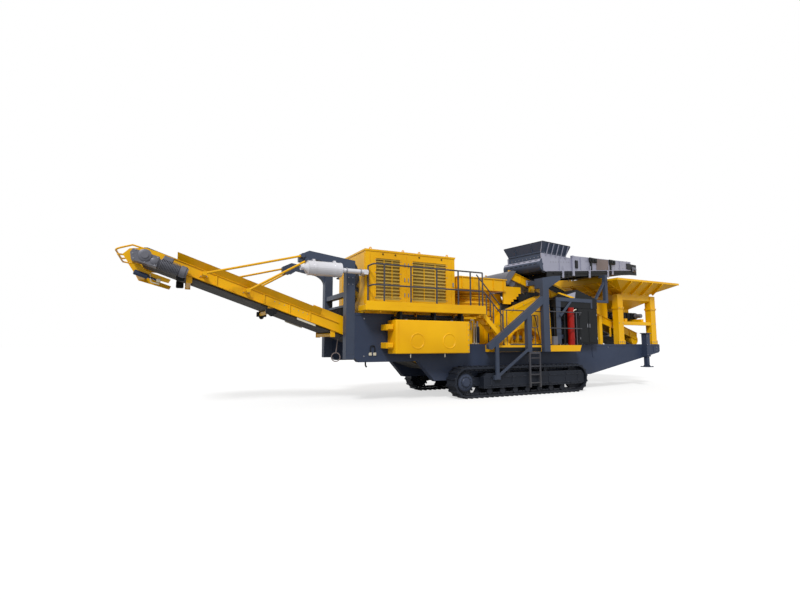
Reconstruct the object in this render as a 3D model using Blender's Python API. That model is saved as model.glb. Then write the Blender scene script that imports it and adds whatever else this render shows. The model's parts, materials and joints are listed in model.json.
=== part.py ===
"""Tracked mobile cone crushing plant, modelled in metres with +Z up.

The discharge conveyor points to -X, the feed hopper stands at +X and the
near side, with the ladder, is -Y.  All stations along X are measured from
the middle of the crawler tracks; one empty then centres the whole machine.
"""
import bpy
import bmesh
from math import atan2, cos, pi, radians, sin
from mathutils import Matrix, Vector

# Clearances
SEAT = 0.0003            # between faces that touch
SLIDE = 0.006            # around the sliding support legs

# Overall sizes
HALF_WIDTH = 1.50        # walkways, tanks, ladder and stand end here
BEAM_WIDTH = 0.22        # width of one chassis beam
TRACK_CLEAR = 0.02       # between the shoes and the chassis beam
LADDER_DEPTH = 0.044     # the ladder hangs outside the shoes
LADDER_GAP = 0.008       # on either side of the ladder

# Crawler tracks
TRACK_MID_X = 0.15
WHEEL_BASE = 4.14        # sprocket axle to idler axle
TRACK_RADIUS = 0.43      # over the shoes at either end
TRACK_WIDTH = 0.42
SHOE_THICK = 0.045
GROUSER = 0.030
SHOE_COUNT = 62
SPROCKET_TEETH = 22
SPROCKET_ARM = 0.56      # from the sprocket axle to the track frame
IDLER_COVER = 0.30       # frame beyond the idler axle
TRACK_FRAME_TOP = 0.66
TRACK_FRAME_BOTTOM = 0.25
TRACK_FRAME_WIDTH = 0.34
ROLLER_COUNT = 7
CARRIER_SHARES = (0.28, 0.72)

# Chassis beams, side outline
CHASSIS_LEFT = -5.00
CHASSIS_RIGHT = 7.00
CHASSIS_TOP = 1.46
BELLY_Z = 0.48
BELLY_LEFT = -2.70
BELLY_RIGHT = 3.30
TAIL_BOTTOM_Z = 1.01
SHELF_TOP = 2.24         # raised part of the beams under the power house
SHELF_RIGHT = -1.72
NOSE_BOTTOM_Z = 1.16

# Gantry over the discharge conveyor
POST_SIZE = 0.225
ARM_BASE_Z = 3.35
ARM_TOP_Z = 3.55
ARM_RISE = 0.15
ARM_REACH = 1.42
ARM_NOSE = 0.40          # the arm's underside is level from here to its tip
ARM_WIDTH = 0.16
GUSSET_DROP = 0.20
GUSSET_REACH = 0.42
ROD_RADIUS = 0.026
EYE_RADIUS = 0.045
EYE_THICK = 0.05
ROD_LOW_UPPER = -8.46    # where the rods meet the conveyor
ROD_LOW_LOWER = -7.55
MUFFLER_RADIUS = 0.175
MUFFLER_DROP = 0.10      # axis below the arm
MUFFLER_PIPE = 0.062
MUFFLER_LEFT_GAP = 0.15  # from the arm's tip
MUFFLER_RIGHT_GAP = 0.215

# Discharge conveyor
BELT_SLOPE = 0.35        # rise per metre of run
DISCHARGE_DRUM = 0.125
BELT_THICK = 0.025
DISCHARGE_HEAD_X = -9.60
DISCHARGE_KNEE_X = -2.55
DISCHARGE_TAIL_X = -0.10
DISCHARGE_LOW_Z = 0.90   # axle height of the level stretch
DISCHARGE_GAP = 0.12     # between its walls and the chassis beams
WALL_THICK = 0.04
DISCHARGE_WALL = (-0.12, 0.14)   # bottom and top about the belt's centre line
HIGH_WALL = 0.34         # top of the taller walls at the gantry
HIGH_WALL_LEFT = -5.95
HIGH_WALL_RIGHT = -4.95
WING_RISE = 0.14
WING_FLARE = 0.15
WING_LEFT = -9.00
WING_RIGHT = -5.78
CHEEK_RIGHT = 0.30       # the cheek plates about the head drum's axle
CHEEK_LEFT = -0.42
HOOP_REACH = 0.58        # guard hoop before the head drum
HOOP_RADIUS = 0.02
RETURN_ROLLERS = (-8.75, -6.99, -5.45)
RETURN_ROLLER_RADIUS = 0.05

# Power house
HOUSE_LEFT = -4.73
HOUSE_RIGHT = -2.01
HOUSE_TOP = 3.90
ROOF_LIP = 0.015
ROOF_THICK = 0.05
BASE_RAIL = (0.02, 0.06) # how far it stands out, and its height
LOUVRE_LOW = 2.60
LOUVRE_HIGH = 3.67
LOUVRE_DEPTH = 0.06
LOUVRES = ((-4.43, -3.74), (-3.35, -2.30))
SLAT_COUNT = 11
FAN_RADIUS = 0.62

# Walkway, handrails, tanks and stair
WALK_LEFT = -4.91
WALK_RIGHT = -1.305
WALK_BOTTOM = 2.28
WALK_TOP = 2.42
RAIL_TOP = 3.44
RAIL_MID = 2.92
RAIL_RADIUS = 0.021
RAIL_INSET = 0.05
RAIL_BEND = 0.10
RAIL_LEFT = -4.68
RAIL_POSTS = (-4.40, -3.65, -2.88, -2.20, -1.80, -1.39)
TANK_LEFT = -4.10
TANK_RIGHT = -1.87
TANK_BOTTOM = 1.22
TANK_TOP = 2.07
STAIR_SLOPE = 1.0
STAIR_DROP = 0.04        # top of the stringers below the walkway's floor
STRINGER_DEPTH = 0.18
STRINGER_THICK = 0.02
STAIR_STEPS = 4
STAIR_RAIL_RADIUS = 0.018

# Crusher
CRUSHER_X = -0.90
CRUSHER_BASE_Z = 1.26
CRUSHER_CLEAR = 0.04     # between its frame and the chassis beams
CRUSHER_SHOULDER_Z = 2.30
BOWL_TOP_Z = 3.05
FEED_BOX_LEFT = -1.76
FEED_BOX_RIGHT = -0.05
FEED_BOX_TOP = 3.42
FEED_BOX_WALL = 0.03

# Service deck, ladder, drive guard and stand
DECK_LEFT = -0.98
DECK_RIGHT = 2.52
DECK_BOTTOM = 1.24
DECK_TOP = 1.43
DECK_INSET = 0.13        # deck edge inside the overall width
STAND_POST_X = 0.935
STAND_POST_SIZE = 0.24
STAND_TOP = 3.30
STAND_SHORT_X = 0.25
STAND_SHORT_SIZE = 0.155
STAND_BRACKET_RIGHT = 1.56
STAND_BEAM_INNER = -0.85 # end of the beam under the conveyor's tail
BRACE_FOOT_X = -1.24
BRACE_FOOT_Z = 1.33
BRACE_HEAD_Z = 2.98
BRACE_DEPTH = 0.24
STAND_LEG = (-1.00, -0.89)
STAND_LEG_FOOT = 0.50
LADDER_LEFT = 0.25
LADDER_RIGHT = 0.64
LADDER_BOTTOM = 0.22
RUNG_COUNT = 4
GUARD_LEFT = -0.56
GUARD_RIGHT = 1.62
GUARD_TOP = 2.98
GUARD_THICK = 0.26
ARCH_X = 0.53
ARCH_HALF = 0.62
ARCH_TOP = 1.94

# Cabinet, hood and cylinder beside the feed conveyor
CABINET_OUT = 0.20       # how far they stand out from the chassis beam
CABINET_LEFT = 2.60
CABINET_RIGHT = 3.50
CABINET_BACK = 0.80
CABINET_TOP = 2.62
HOOD_LEFT = 1.63
HOOD_LEFT_Z = 2.86
HOOD_PEAK_X = 2.58
HOOD_PEAK_Z = 3.22
HOOD_RIGHT_Z = 2.94
HOOD_LEG = 0.07
RED_X = 2.29
RED_RADIUS = 0.105

# Feed conveyor and feeder
FEED_DRUM = 0.185
FEED_HEAD_X = 0.42
FEED_HEAD_Z = 3.45
FEED_TAIL_X = 6.20
FEED_TAIL_Z = 1.62
FEED_GAP = 0.18          # between its walls and the chassis beams
FEED_WALL = (0.03, 0.29)
STRUTS = (1.10, 4.20)    # where its uprights stand on the chassis
STRUT_SIZE = 0.14
STRUT_OUT = 0.10
SKIRT_LEFT = 4.20
SKIRT_RIGHT = 4.78
SKIRT_TOP = 2.94
FEEDER_GAP = 0.23
FEEDER_BOTTOM = 2.37
FEEDER_TOP = 2.62
FEEDER_LEFT = 4.86
FEEDER_RIGHT = 6.46
CHUTE_LEFT = 5.20        # foot of the chute on the feeder
CHUTE_RIGHT = 6.05
CHUTE_HALF = 0.50
CHUTE_BAND = 0.12

# Feed hopper
RIM_Z = 3.70
RIM_HALF = 1.45
RIM_LEFT = 4.26
RIM_RIGHT = 7.66
RIM_LIP = (0.035, 0.07)  # width and height of the flange round the rim
BAND_TOP = 3.27
BAND_BOTTOM = 3.08
LEG_SIZE = 0.27
LEG_LEFT_X = 4.94        # centre of the left pair of legs
LEG_RIGHT_X = 6.73       # centre of the right pair
HOPPER_WALL = 0.03
TIE_TOP = 2.26
TIE_DEPTH = 0.12
COLLAR_LOW = 2.70
COLLAR_HIGH = 2.77
COLLAR_OUT = 0.02
SIDE_RIBS = (5.00, 5.56, 6.12, 6.68)
END_RIBS = (-0.60, 0.0, 0.60)
RIB_DEPTH = 0.03
RIB_THICK = 0.02
RIB_CLEAR = 0.035        # from the middle of a rib to the corner of the wall
STAND_BEAMS = (5.36, 6.26)

# Support legs at the hopper end
JACK_X = 6.08
JACK_TOP = 1.86
JACK_BOTTOM = 1.02
JACK_POST = 0.13
JACK_WALL = 0.025
JACK_FOOT = 0.30
JACK_FOOT_THICK = 0.03
JACK_FOOT_Z = 0.65       # under side of the raised foot
JACK_ROOF = 0.03         # closed top of the sleeve, the raised leg's stop
JACK_FLANGE = 0.03

# Return conveyor on the stand
RETURN_X = 0.937         # near corner of its boot
RETURN_Y = -1.421
RETURN_TURN = radians(8)
RETURN_SLOPE = 0.08
RETURN_TAIL = 0.17       # tail axle from the boot's edge
RETURN_LENGTH = 5.50     # head axle from the boot's edge
RETURN_WIDTH = 1.35
RETURN_AXLE_Z = 3.81
RETURN_DRUM = 0.115
RETURN_SKIN = 0.03
PLATE_END = 5.32
PLATE_LOW = (3.70, 4.205)    # lower edge of the side plates at tail and head
PLATE_HIGH = (4.349, 4.536)  # upper edge past the boot
BOOT_SEAT_Z = 4.266
UNDER_Z = 3.497          # under side at the boot's edge
UNDER_SLOPE = 0.1025
UNDER_LEFT = 0.30
HEAD_PLATE = (4.06, 4.45)
HEAD_PLATE_END = 5.72
UNDER_BEAMS = (0.50, 1.90, 3.30)
BOOT_LENGTH = 1.42
BOOT_RIM_Z = 4.62
BOOT_FLARE = 0.10
BOOT_BAND = 0.05
BOOT_WALL = 0.02
BOOT_RIBS = 5
END_WALL_Z = 4.06        # foot of the dark wall below the boot's left side
STRIP_LOW = 3.995
RETURN_POST_X = 4.14
RETURN_POST_SIZE = 0.12
RETURN_POST_Y = -1.10

YELLOW = ("machine_yellow", (0.86, 0.44, 0.015, 1), 0.38, 0.0)
BLUE_GREY = ("chassis_blue_grey", (0.040, 0.052, 0.082, 1), 0.45, 0.0)
DARK_GREY = ("structure_dark_grey", (0.048, 0.058, 0.078, 1), 0.48, 0.0)
RAIL_GREY = ("rail_grey", (0.07, 0.07, 0.08, 1), 0.5, 0.0)
TRACK_STEEL = ("track_steel", (0.030, 0.036, 0.050, 1), 0.55, 0.6)
BELT = ("belt_rubber", (0.07, 0.07, 0.068, 1), 0.85, 0.0)
OLIVE = ("louvre_olive", (0.20, 0.13, 0.03, 1), 0.55, 0.0)
GEAR_GREY = ("gearbox_grey", (0.26, 0.26, 0.33, 1), 0.42, 0.3)
SILVER = ("muffler_silver", (0.58, 0.58, 0.64, 1), 0.35, 0.7)
NEAR_BLACK = ("cabinet_black", (0.016, 0.020, 0.026, 1), 0.45, 0.0)
RED = ("cylinder_red", (0.40, 0.014, 0.008, 1), 0.4, 0.0)
PLATE_GREY = ("side_plate_grey", (0.27, 0.27, 0.34, 1), 0.42, 0.4)

for old in list(bpy.data.objects):
    bpy.data.objects.remove(old, do_unlink=True)

machine = bpy.data.collections.new("mobile_cone_crusher")
bpy.context.scene.collection.children.link(machine)
workshop = bpy.data.collections.new("construction_shapes")
bpy.context.scene.collection.children.link(workshop)

SIDES = (("near", -1), ("far", 1))

track_face = HALF_WIDTH - LADDER_DEPTH - 2 * LADDER_GAP
track_middle = track_face - TRACK_WIDTH / 2
track_inner = track_middle - TRACK_FRAME_WIDTH / 2
chassis_half = track_face - TRACK_WIDTH - TRACK_CLEAR
beam_inner = chassis_half - BEAM_WIDTH
discharge_half = beam_inner - DISCHARGE_GAP
feed_half = beam_inner - FEED_GAP
feeder_half = beam_inner - FEEDER_GAP
deck_face = HALF_WIDTH - DECK_INSET
cabinet_face = chassis_half + CABINET_OUT
wheel_left = TRACK_MID_X - WHEEL_BASE / 2
wheel_right = TRACK_MID_X + WHEEL_BASE / 2
wheel_z = TRACK_RADIUS
discharge_head_z = DISCHARGE_LOW_Z + BELT_SLOPE * (DISCHARGE_KNEE_X - DISCHARGE_HEAD_X)
machine_left = DISCHARGE_HEAD_X - HOOP_REACH
machine_mid = (machine_left + RIM_RIGHT) / 2

datum = bpy.data.objects.new("machine_centre", None)
datum.location = (-machine_mid, 0, 0)
machine.objects.link(datum)

return_line = bpy.data.objects.new("return_conveyor_axis", None)
return_line.location = (RETURN_X, RETURN_Y, 0)
return_line.rotation_euler = (0, 0, RETURN_TURN)
return_line.parent = datum
machine.objects.link(return_line)


def paint(spec):
    """Material of one finish, made the first time it is asked for."""
    name, colour, roughness, metallic = spec
    made = bpy.data.materials.get(name)
    if made is None:
        made = bpy.data.materials.new(name)
        made.use_nodes = True
        shader = made.node_tree.nodes["Principled BSDF"]
        shader.inputs["Base Color"].default_value = colour
        shader.inputs["Roughness"].default_value = roughness
        shader.inputs["Metallic"].default_value = metallic
    return made


def node(name, mesh, finish, parent=None):
    """One finished piece of the machine."""
    piece = bpy.data.objects.new(name, mesh)
    mesh.materials.clear()
    mesh.materials.append(paint(finish))
    mesh.shade_smooth()
    mesh.set_sharp_from_angle(angle=radians(35))
    machine.objects.link(piece)
    piece.parent = parent or datum
    return piece


def to_mesh(bm):
    """Mesh from a bmesh with its faces pointing out."""
    bmesh.ops.recalc_face_normals(bm, faces=bm.faces)
    mesh = bpy.data.meshes.new("shape")
    bm.to_mesh(mesh)
    bm.free()
    return mesh


def box(x, y, z, bevel=0.0):
    """Block between three pairs of coordinates."""
    low = Vector((min(x), min(y), min(z)))
    high = Vector((max(x), max(y), max(z)))
    bm = bmesh.new()
    bmesh.ops.create_cube(bm, size=1)
    bmesh.ops.scale(bm, vec=high - low, verts=bm.verts)
    bmesh.ops.translate(bm, vec=(low + high) / 2, verts=bm.verts)
    if bevel:
        bmesh.ops.bevel(bm, geom=bm.edges, offset=bevel, segments=1, affect="EDGES")
    return to_mesh(bm)


def cylinder(radius, start, end, segments=24, end_radius=None):
    """Round bar or cone from one point to another."""
    start, end = Vector(start), Vector(end)
    axis = end - start
    bm = bmesh.new()
    bmesh.ops.create_cone(
        bm, cap_ends=True, segments=segments, radius1=radius,
        radius2=radius if end_radius is None else end_radius, depth=axis.length)
    turn = axis.to_track_quat("Z", "Y").to_matrix().to_4x4()
    bmesh.ops.transform(bm, matrix=Matrix.Translation((start + end) / 2) @ turn, verts=bm.verts)
    return to_mesh(bm)


def plate(outline, y, holes=()):
    """Flat plate: an outline in X and Z, cut between two Y planes."""
    curve = bpy.data.curves.new("outline", "CURVE")
    curve.dimensions = "2D"
    curve.fill_mode = "BOTH"
    curve.extrude = abs(y[1] - y[0]) / 2
    for points in (outline, *holes):
        spline = curve.splines.new("POLY")
        spline.points.add(len(points) - 1)
        for point, (px, pz) in zip(spline.points, points):
            point.co = (px, pz, 0, 1)
        spline.use_cyclic_u = True
    turn = Matrix.Rotation(pi / 2, 4, "X")
    return curve_mesh(curve, Matrix.Translation((0, sum(y) / 2, 0)) @ turn)


def curve_mesh(curve, matrix):
    """Closed mesh of a curve, with its caps welded on."""
    holder = bpy.data.objects.new("curve", curve)
    workshop.objects.link(holder)
    depsgraph = bpy.context.evaluated_depsgraph_get()
    mesh = bpy.data.meshes.new_from_object(holder.evaluated_get(depsgraph))
    bm = bmesh.new()
    bm.from_mesh(mesh)
    bmesh.ops.remove_doubles(bm, verts=bm.verts, dist=0.00001)
    bmesh.ops.transform(bm, matrix=matrix, verts=bm.verts)
    bpy.data.objects.remove(holder)
    bpy.data.curves.remove(curve)
    bpy.data.meshes.remove(mesh)
    return to_mesh(bm)


def tube(points, radius, closed=False, resolution=1):
    """Round tube along a list of points."""
    curve = bpy.data.curves.new("route", "CURVE")
    curve.dimensions = "3D"
    curve.bevel_depth = radius
    curve.bevel_resolution = resolution
    curve.use_fill_caps = True
    spline = curve.splines.new("POLY")
    spline.points.add(len(points) - 1)
    for point, place in zip(spline.points, points):
        point.co = (*place, 1)
    spline.use_cyclic_u = closed
    return curve_mesh(curve, Matrix.Identity(4))


def sweep(profile, path):
    """Profile in Y and Z carried along points in X and Z, kept upright."""
    bm = bmesh.new()
    start_x, start_z = path[0]
    ring = [bm.verts.new((start_x, y, start_z + z)) for y, z in profile]
    face = bm.faces.new(ring)
    for (x0, z0), (x1, z1) in zip(path, path[1:]):
        grown = bmesh.ops.extrude_face_region(bm, geom=[face], use_keep_orig=x0 == start_x)["geom"]
        face = next(item for item in grown if isinstance(item, bmesh.types.BMFace))
        bmesh.ops.translate(bm, vec=(x1 - x0, 0, z1 - z0), verts=face.verts)
    return to_mesh(bm)


def turned(profile, centre, steps=32):
    """Solid of revolution about a vertical axis, from radius and height pairs."""
    bm = bmesh.new()
    line = [bm.verts.new((radius, 0, z)) for radius, z in profile]
    edges = [bm.edges.new(pair) for pair in zip(line, line[1:])]
    bmesh.ops.spin(
        bm, geom=line + edges, cent=(0, 0, 0), axis=(0, 0, 1), angle=2 * pi,
        steps=steps, use_merge=True)
    bmesh.ops.remove_doubles(bm, verts=bm.verts, dist=0.00001)
    bmesh.ops.translate(bm, vec=centre, verts=bm.verts)
    return to_mesh(bm)


def combine(first, others, operation="UNION"):
    """Closed mesh from one shape and the shapes that are joined to it or cut out of it."""
    body = bpy.data.objects.new("body", first)
    workshop.objects.link(body)
    tools = []
    for shape in others:
        tool = bpy.data.objects.new("tool", shape)
        tool.hide_render = True
        tool.display_type = "WIRE"
        workshop.objects.link(tool)
        step = body.modifiers.new("join_or_cut", "BOOLEAN")
        step.operation = operation
        step.solver = "EXACT"
        step.object = tool
        tools.append(tool)
    depsgraph = bpy.context.evaluated_depsgraph_get()
    mesh = bpy.data.meshes.new_from_object(body.evaluated_get(depsgraph))
    for used in (body, *tools):
        bpy.data.objects.remove(used)
    bm = bmesh.new()
    bm.from_mesh(mesh)
    bmesh.ops.remove_doubles(bm, verts=bm.verts, dist=0.00001)
    return to_mesh(bm)


def arc(centre, radii, start, end, steps):
    """Points of an ellipse between two angles in degrees, both ends included."""
    angles = [radians(start + (end - start) * i / steps) for i in range(steps + 1)]
    return [(centre[0] + radii[0] * cos(a), centre[1] + radii[1] * sin(a)) for a in angles]


def bend(start, corner, end, radius, steps=3):
    """Points that round one corner of a tube's route."""
    start, corner, end = Vector(start), Vector(corner), Vector(end)
    first = corner + (start - corner).normalized() * radius
    last = corner + (end - corner).normalized() * radius
    points = []
    for i in range(steps + 1):
        share = i / steps
        points.append(first.lerp(corner, share).lerp(corner.lerp(last, share), share))
    return points


def leaning_box(x, y, z, lean_x=0.0, lean_y=0.0):
    """Block that leans by so much per metre of height above its foot."""
    shape = box(x, y, z)
    foot = min(z)
    shear = Matrix(((1, 0, lean_x, -lean_x * foot), (0, 1, lean_y, -lean_y * foot), (0, 0, 1, 0), (0, 0, 0, 1)))
    shape.transform(shear)
    return shape


def wrap(centre, radius, first, steps):
    """Corners of a half turn that touches a circle from outside, angles in radians."""
    step = pi / steps
    reach = radius / cos(step / 2)
    return [
        (centre[0] + reach * cos(first + step * (i + 0.5)), centre[1] + reach * sin(first + step * (i + 0.5)))
        for i in range(steps)]


def belt_loop(path, radius, steps=8):
    """Outline at one distance all round a line of axle points, from left to right."""
    points = []
    angles = [atan2(b[1] - a[1], b[0] - a[0]) for a, b in zip(path, path[1:])]
    points += wrap(path[0], radius, angles[0] + pi / 2, steps)
    for corner, (before, after) in zip(path[1:-1], zip(angles, angles[1:])):
        reach = radius / cos((after - before) / 2)
        lean = (before + after) / 2 - pi / 2
        points.append((corner[0] + reach * cos(lean), corner[1] + reach * sin(lean)))
    points += wrap(path[-1], radius, angles[-1] - pi / 2, steps)
    for corner, (before, after) in reversed(list(zip(path[1:-1], zip(angles, angles[1:])))):
        reach = radius / cos((after - before) / 2)
        lean = (before + after) / 2 + pi / 2
        points.append((corner[0] + reach * cos(lean), corner[1] + reach * sin(lean)))
    return points


def track_loop(offset):
    """Outline round both wheels at one distance inside the shoe tips."""
    ends = ((wheel_left, wheel_z), (wheel_right, wheel_z))
    return belt_loop(ends, TRACK_RADIUS - offset, steps=12)


def shoe_outline():
    """Outer outline of the track chain, one raised grouser on each shoe."""
    radius = TRACK_RADIUS - GROUSER
    straight = WHEEL_BASE
    length = 2 * straight + 2 * pi * radius
    pitch = length / SHOE_COUNT

    def place(run, height):
        run %= length
        reach = radius + height
        if run < straight:
            return (wheel_left + run, wheel_z - reach)
        if run < straight + pi * radius:
            turn = (run - straight) / radius - pi / 2
            return (wheel_right + reach * cos(turn), wheel_z + reach * sin(turn))
        if run < 2 * straight + pi * radius:
            return (wheel_right - (run - straight - pi * radius), wheel_z + reach)
        turn = (run - 2 * straight - pi * radius) / radius + pi / 2
        return (wheel_left + reach * cos(turn), wheel_z + reach * sin(turn))

    points = []
    for shoe in range(SHOE_COUNT):
        start = shoe * pitch
        points.append(place(start, 0))
        points.append(place(start + 0.62 * pitch, 0))
        points.append(place(start + 0.66 * pitch, GROUSER))
        points.append(place(start + 0.90 * pitch, GROUSER))
    return points


def toothed_disc(centre, radius, tooth, count):
    """Outline of a sprocket."""
    points = []
    for i in range(count):
        for share, reach in ((0.0, radius - tooth), (0.30, radius - tooth), (0.45, radius), (0.75, radius)):
            angle = 2 * pi * (i + share) / count
            points.append((centre[0] + reach * cos(angle), centre[1] + reach * sin(angle)))
    return points


def build_track(label, side):
    """Chain, sprocket, idler and frame of one crawler."""
    outer = track_face * side
    inner = (track_face - TRACK_WIDTH) * side
    middle = track_middle * side
    chain_inside = TRACK_RADIUS - GROUSER - SHOE_THICK
    chain = plate(shoe_outline(), (outer, inner), holes=[track_loop(GROUSER + SHOE_THICK)])
    node(f"track_chain_{label}", chain, TRACK_STEEL)

    half = TRACK_FRAME_WIDTH / 2
    frame_y = (middle - half, middle + half)
    left_end = wheel_left + SPROCKET_ARM
    right_end = wheel_right + IDLER_COVER
    chamfer = 0.10
    frame = plate(
        [(left_end, TRACK_FRAME_BOTTOM), (right_end - chamfer, TRACK_FRAME_BOTTOM),
         (right_end, TRACK_FRAME_BOTTOM + chamfer / 2), (right_end, TRACK_FRAME_TOP - chamfer),
         (right_end - chamfer, TRACK_FRAME_TOP), (left_end + chamfer, TRACK_FRAME_TOP),
         (left_end, TRACK_FRAME_TOP - chamfer)],
        frame_y)
    arm_half = 0.12
    hub_half = 0.07
    arm_inner = middle - side * half
    additions = [box((wheel_left - arm_half, left_end + arm_half), (arm_inner, middle - side * hub_half / 2),
                     (wheel_z - arm_half, wheel_z + arm_half))]
    roller_low = wheel_z - chain_inside + SEAT
    roller_radius = (TRACK_FRAME_BOTTOM - roller_low) / 2 + 0.002
    span = wheel_right - chain_inside - left_end
    for i in range(ROLLER_COUNT):
        x = left_end + span * (i + 0.5) / ROLLER_COUNT
        additions.append(cylinder(
            roller_radius, (x, frame_y[0] + 0.05, roller_low + roller_radius),
            (x, frame_y[1] - 0.05, roller_low + roller_radius), 12))
    carrier_high = wheel_z + chain_inside - SEAT
    carrier_radius = (carrier_high - TRACK_FRAME_TOP) / 2 + 0.002
    for share in CARRIER_SHARES:
        x = left_end + span * share
        additions.append(cylinder(
            carrier_radius, (x, frame_y[0] + 0.05, carrier_high - carrier_radius),
            (x, frame_y[1] - 0.05, carrier_high - carrier_radius), 12))

    tooth_reach = chain_inside - SEAT
    additions.append(plate(
        toothed_disc((wheel_left, wheel_z), tooth_reach, 0.05, SPROCKET_TEETH), (middle - 0.03, middle + 0.03)))
    for radius, width in ((0.26, hub_half), (0.15, hub_half + 0.05)):
        additions.append(cylinder(radius, (wheel_left, middle - width, wheel_z),
                                  (wheel_left, middle + width, wheel_z), 24))
    idler_half = 0.045
    additions.append(cylinder(tooth_reach, (wheel_right, middle - idler_half, wheel_z),
                              (wheel_right, middle + idler_half, wheel_z), 32))
    node(f"running_gear_{label}", combine(frame, additions), TRACK_STEEL)


for label, side in SIDES:
    build_track(label, side)


def build_chassis():
    """Two deep side beams, the cross beams between them and the track axles."""
    outline = [
        (CHASSIS_LEFT, TAIL_BOTTOM_Z + 0.12), (CHASSIS_LEFT + 0.12, TAIL_BOTTOM_Z),
        (BELLY_LEFT - (TAIL_BOTTOM_Z - BELLY_Z) * 0.9, TAIL_BOTTOM_Z), (BELLY_LEFT, BELLY_Z),
        (BELLY_RIGHT, BELLY_Z), (CHASSIS_RIGHT - 0.06, NOSE_BOTTOM_Z),
        (CHASSIS_RIGHT, NOSE_BOTTOM_Z + 0.06), (CHASSIS_RIGHT, CHASSIS_TOP - 0.05),
        (CHASSIS_RIGHT - 0.05, CHASSIS_TOP), (SHELF_RIGHT, CHASSIS_TOP),
        (SHELF_RIGHT, SHELF_TOP), (CHASSIS_LEFT, SHELF_TOP)]
    beams = [plate(outline, (side * beam_inner, side * chassis_half)) for side in (-1, 1)]
    across = (-beam_inner - 0.05, beam_inner + 0.05)
    members = [box((CHASSIS_RIGHT - 0.30, CHASSIS_RIGHT - 0.08), across, (NOSE_BOTTOM_Z + 0.07, CHASSIS_TOP - 0.02))]
    axle_half = 0.15
    for share in (0.25, 0.75):
        x = wheel_left + WHEEL_BASE * share
        members.append(box((x - axle_half, x + axle_half), (-track_inner + SEAT, track_inner - SEAT),
                           (TRACK_FRAME_BOTTOM + 0.01, BELLY_Z + 0.10)))
    node("chassis", combine(beams[0], beams[1:] + members), BLUE_GREY)


build_chassis()


def build_gantry():
    """Posts on the tail of the chassis and the arms that hold the conveyor ties."""
    post_x = (CHASSIS_LEFT - SEAT - POST_SIZE, CHASSIS_LEFT - SEAT)
    arm_bottom_tip = ARM_BASE_Z + ARM_RISE
    tip_x = post_x[1] - ARM_REACH
    nose = tip_x + ARM_NOSE
    gusset_high = ARM_BASE_Z + ARM_RISE * GUSSET_REACH / (post_x[0] - nose)
    gusset_low = ARM_BASE_Z - GUSSET_DROP
    curve = arc((post_x[0] - GUSSET_REACH, gusset_low), (GUSSET_REACH, gusset_high - gusset_low), 0, 90, 6)
    outline = [
        (post_x[1], gusset_low), *curve,
        (nose, arm_bottom_tip), (tip_x + 0.26, arm_bottom_tip - 0.10),
        (tip_x, arm_bottom_tip - 0.08), (tip_x, ARM_TOP_Z + 0.03),
        (tip_x + 0.24, ARM_TOP_Z + ARM_RISE), (post_x[1], ARM_TOP_Z)]
    shapes = []
    for side in (-1, 1):
        shapes.append(box(post_x, (side * (chassis_half - 0.002), side * (chassis_half - POST_SIZE)),
                          (TAIL_BOTTOM_Z + 0.08, ARM_BASE_Z + 0.05)))
        shapes.append(plate(outline, (side * chassis_half, side * (chassis_half - ARM_WIDTH))))
    inset = 0.03
    shapes.append(box((post_x[0] + inset, post_x[1] - inset), (-chassis_half + 0.1, chassis_half - 0.1), (2.66, 2.78)))
    node("gantry", combine(shapes[0], shapes[1:]), DARK_GREY)
    return tip_x, arm_bottom_tip


arm_tip_x, arm_tip_z = build_gantry()


def belt_height(x):
    """Height of the discharge belt's centre line."""
    if x > DISCHARGE_KNEE_X:
        return DISCHARGE_LOW_Z
    return DISCHARGE_LOW_Z + BELT_SLOPE * (DISCHARGE_KNEE_X - x)


def offset_line(path, lift):
    """Points of a line moved straight up."""
    return [(x, z + lift) for x, z in path]


def trough(wall_path, bed_path, half, lifts, bed_lift, extras=()):
    """Conveyor frame: two side walls, the bed under the belt and what is welded on."""
    wall = offset_line(wall_path, lifts[0]) + offset_line(reversed(wall_path), lifts[1])
    inside = half - WALL_THICK
    near_wall = plate(wall, (-half, -inside))
    bed = offset_line(bed_path, bed_lift - WALL_THICK) + offset_line(reversed(bed_path), bed_lift)
    bed_half = half - WALL_THICK / 2
    return combine(near_wall, [plate(wall, (inside, half)), plate(bed, (-bed_half, bed_half)), *extras])


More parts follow.
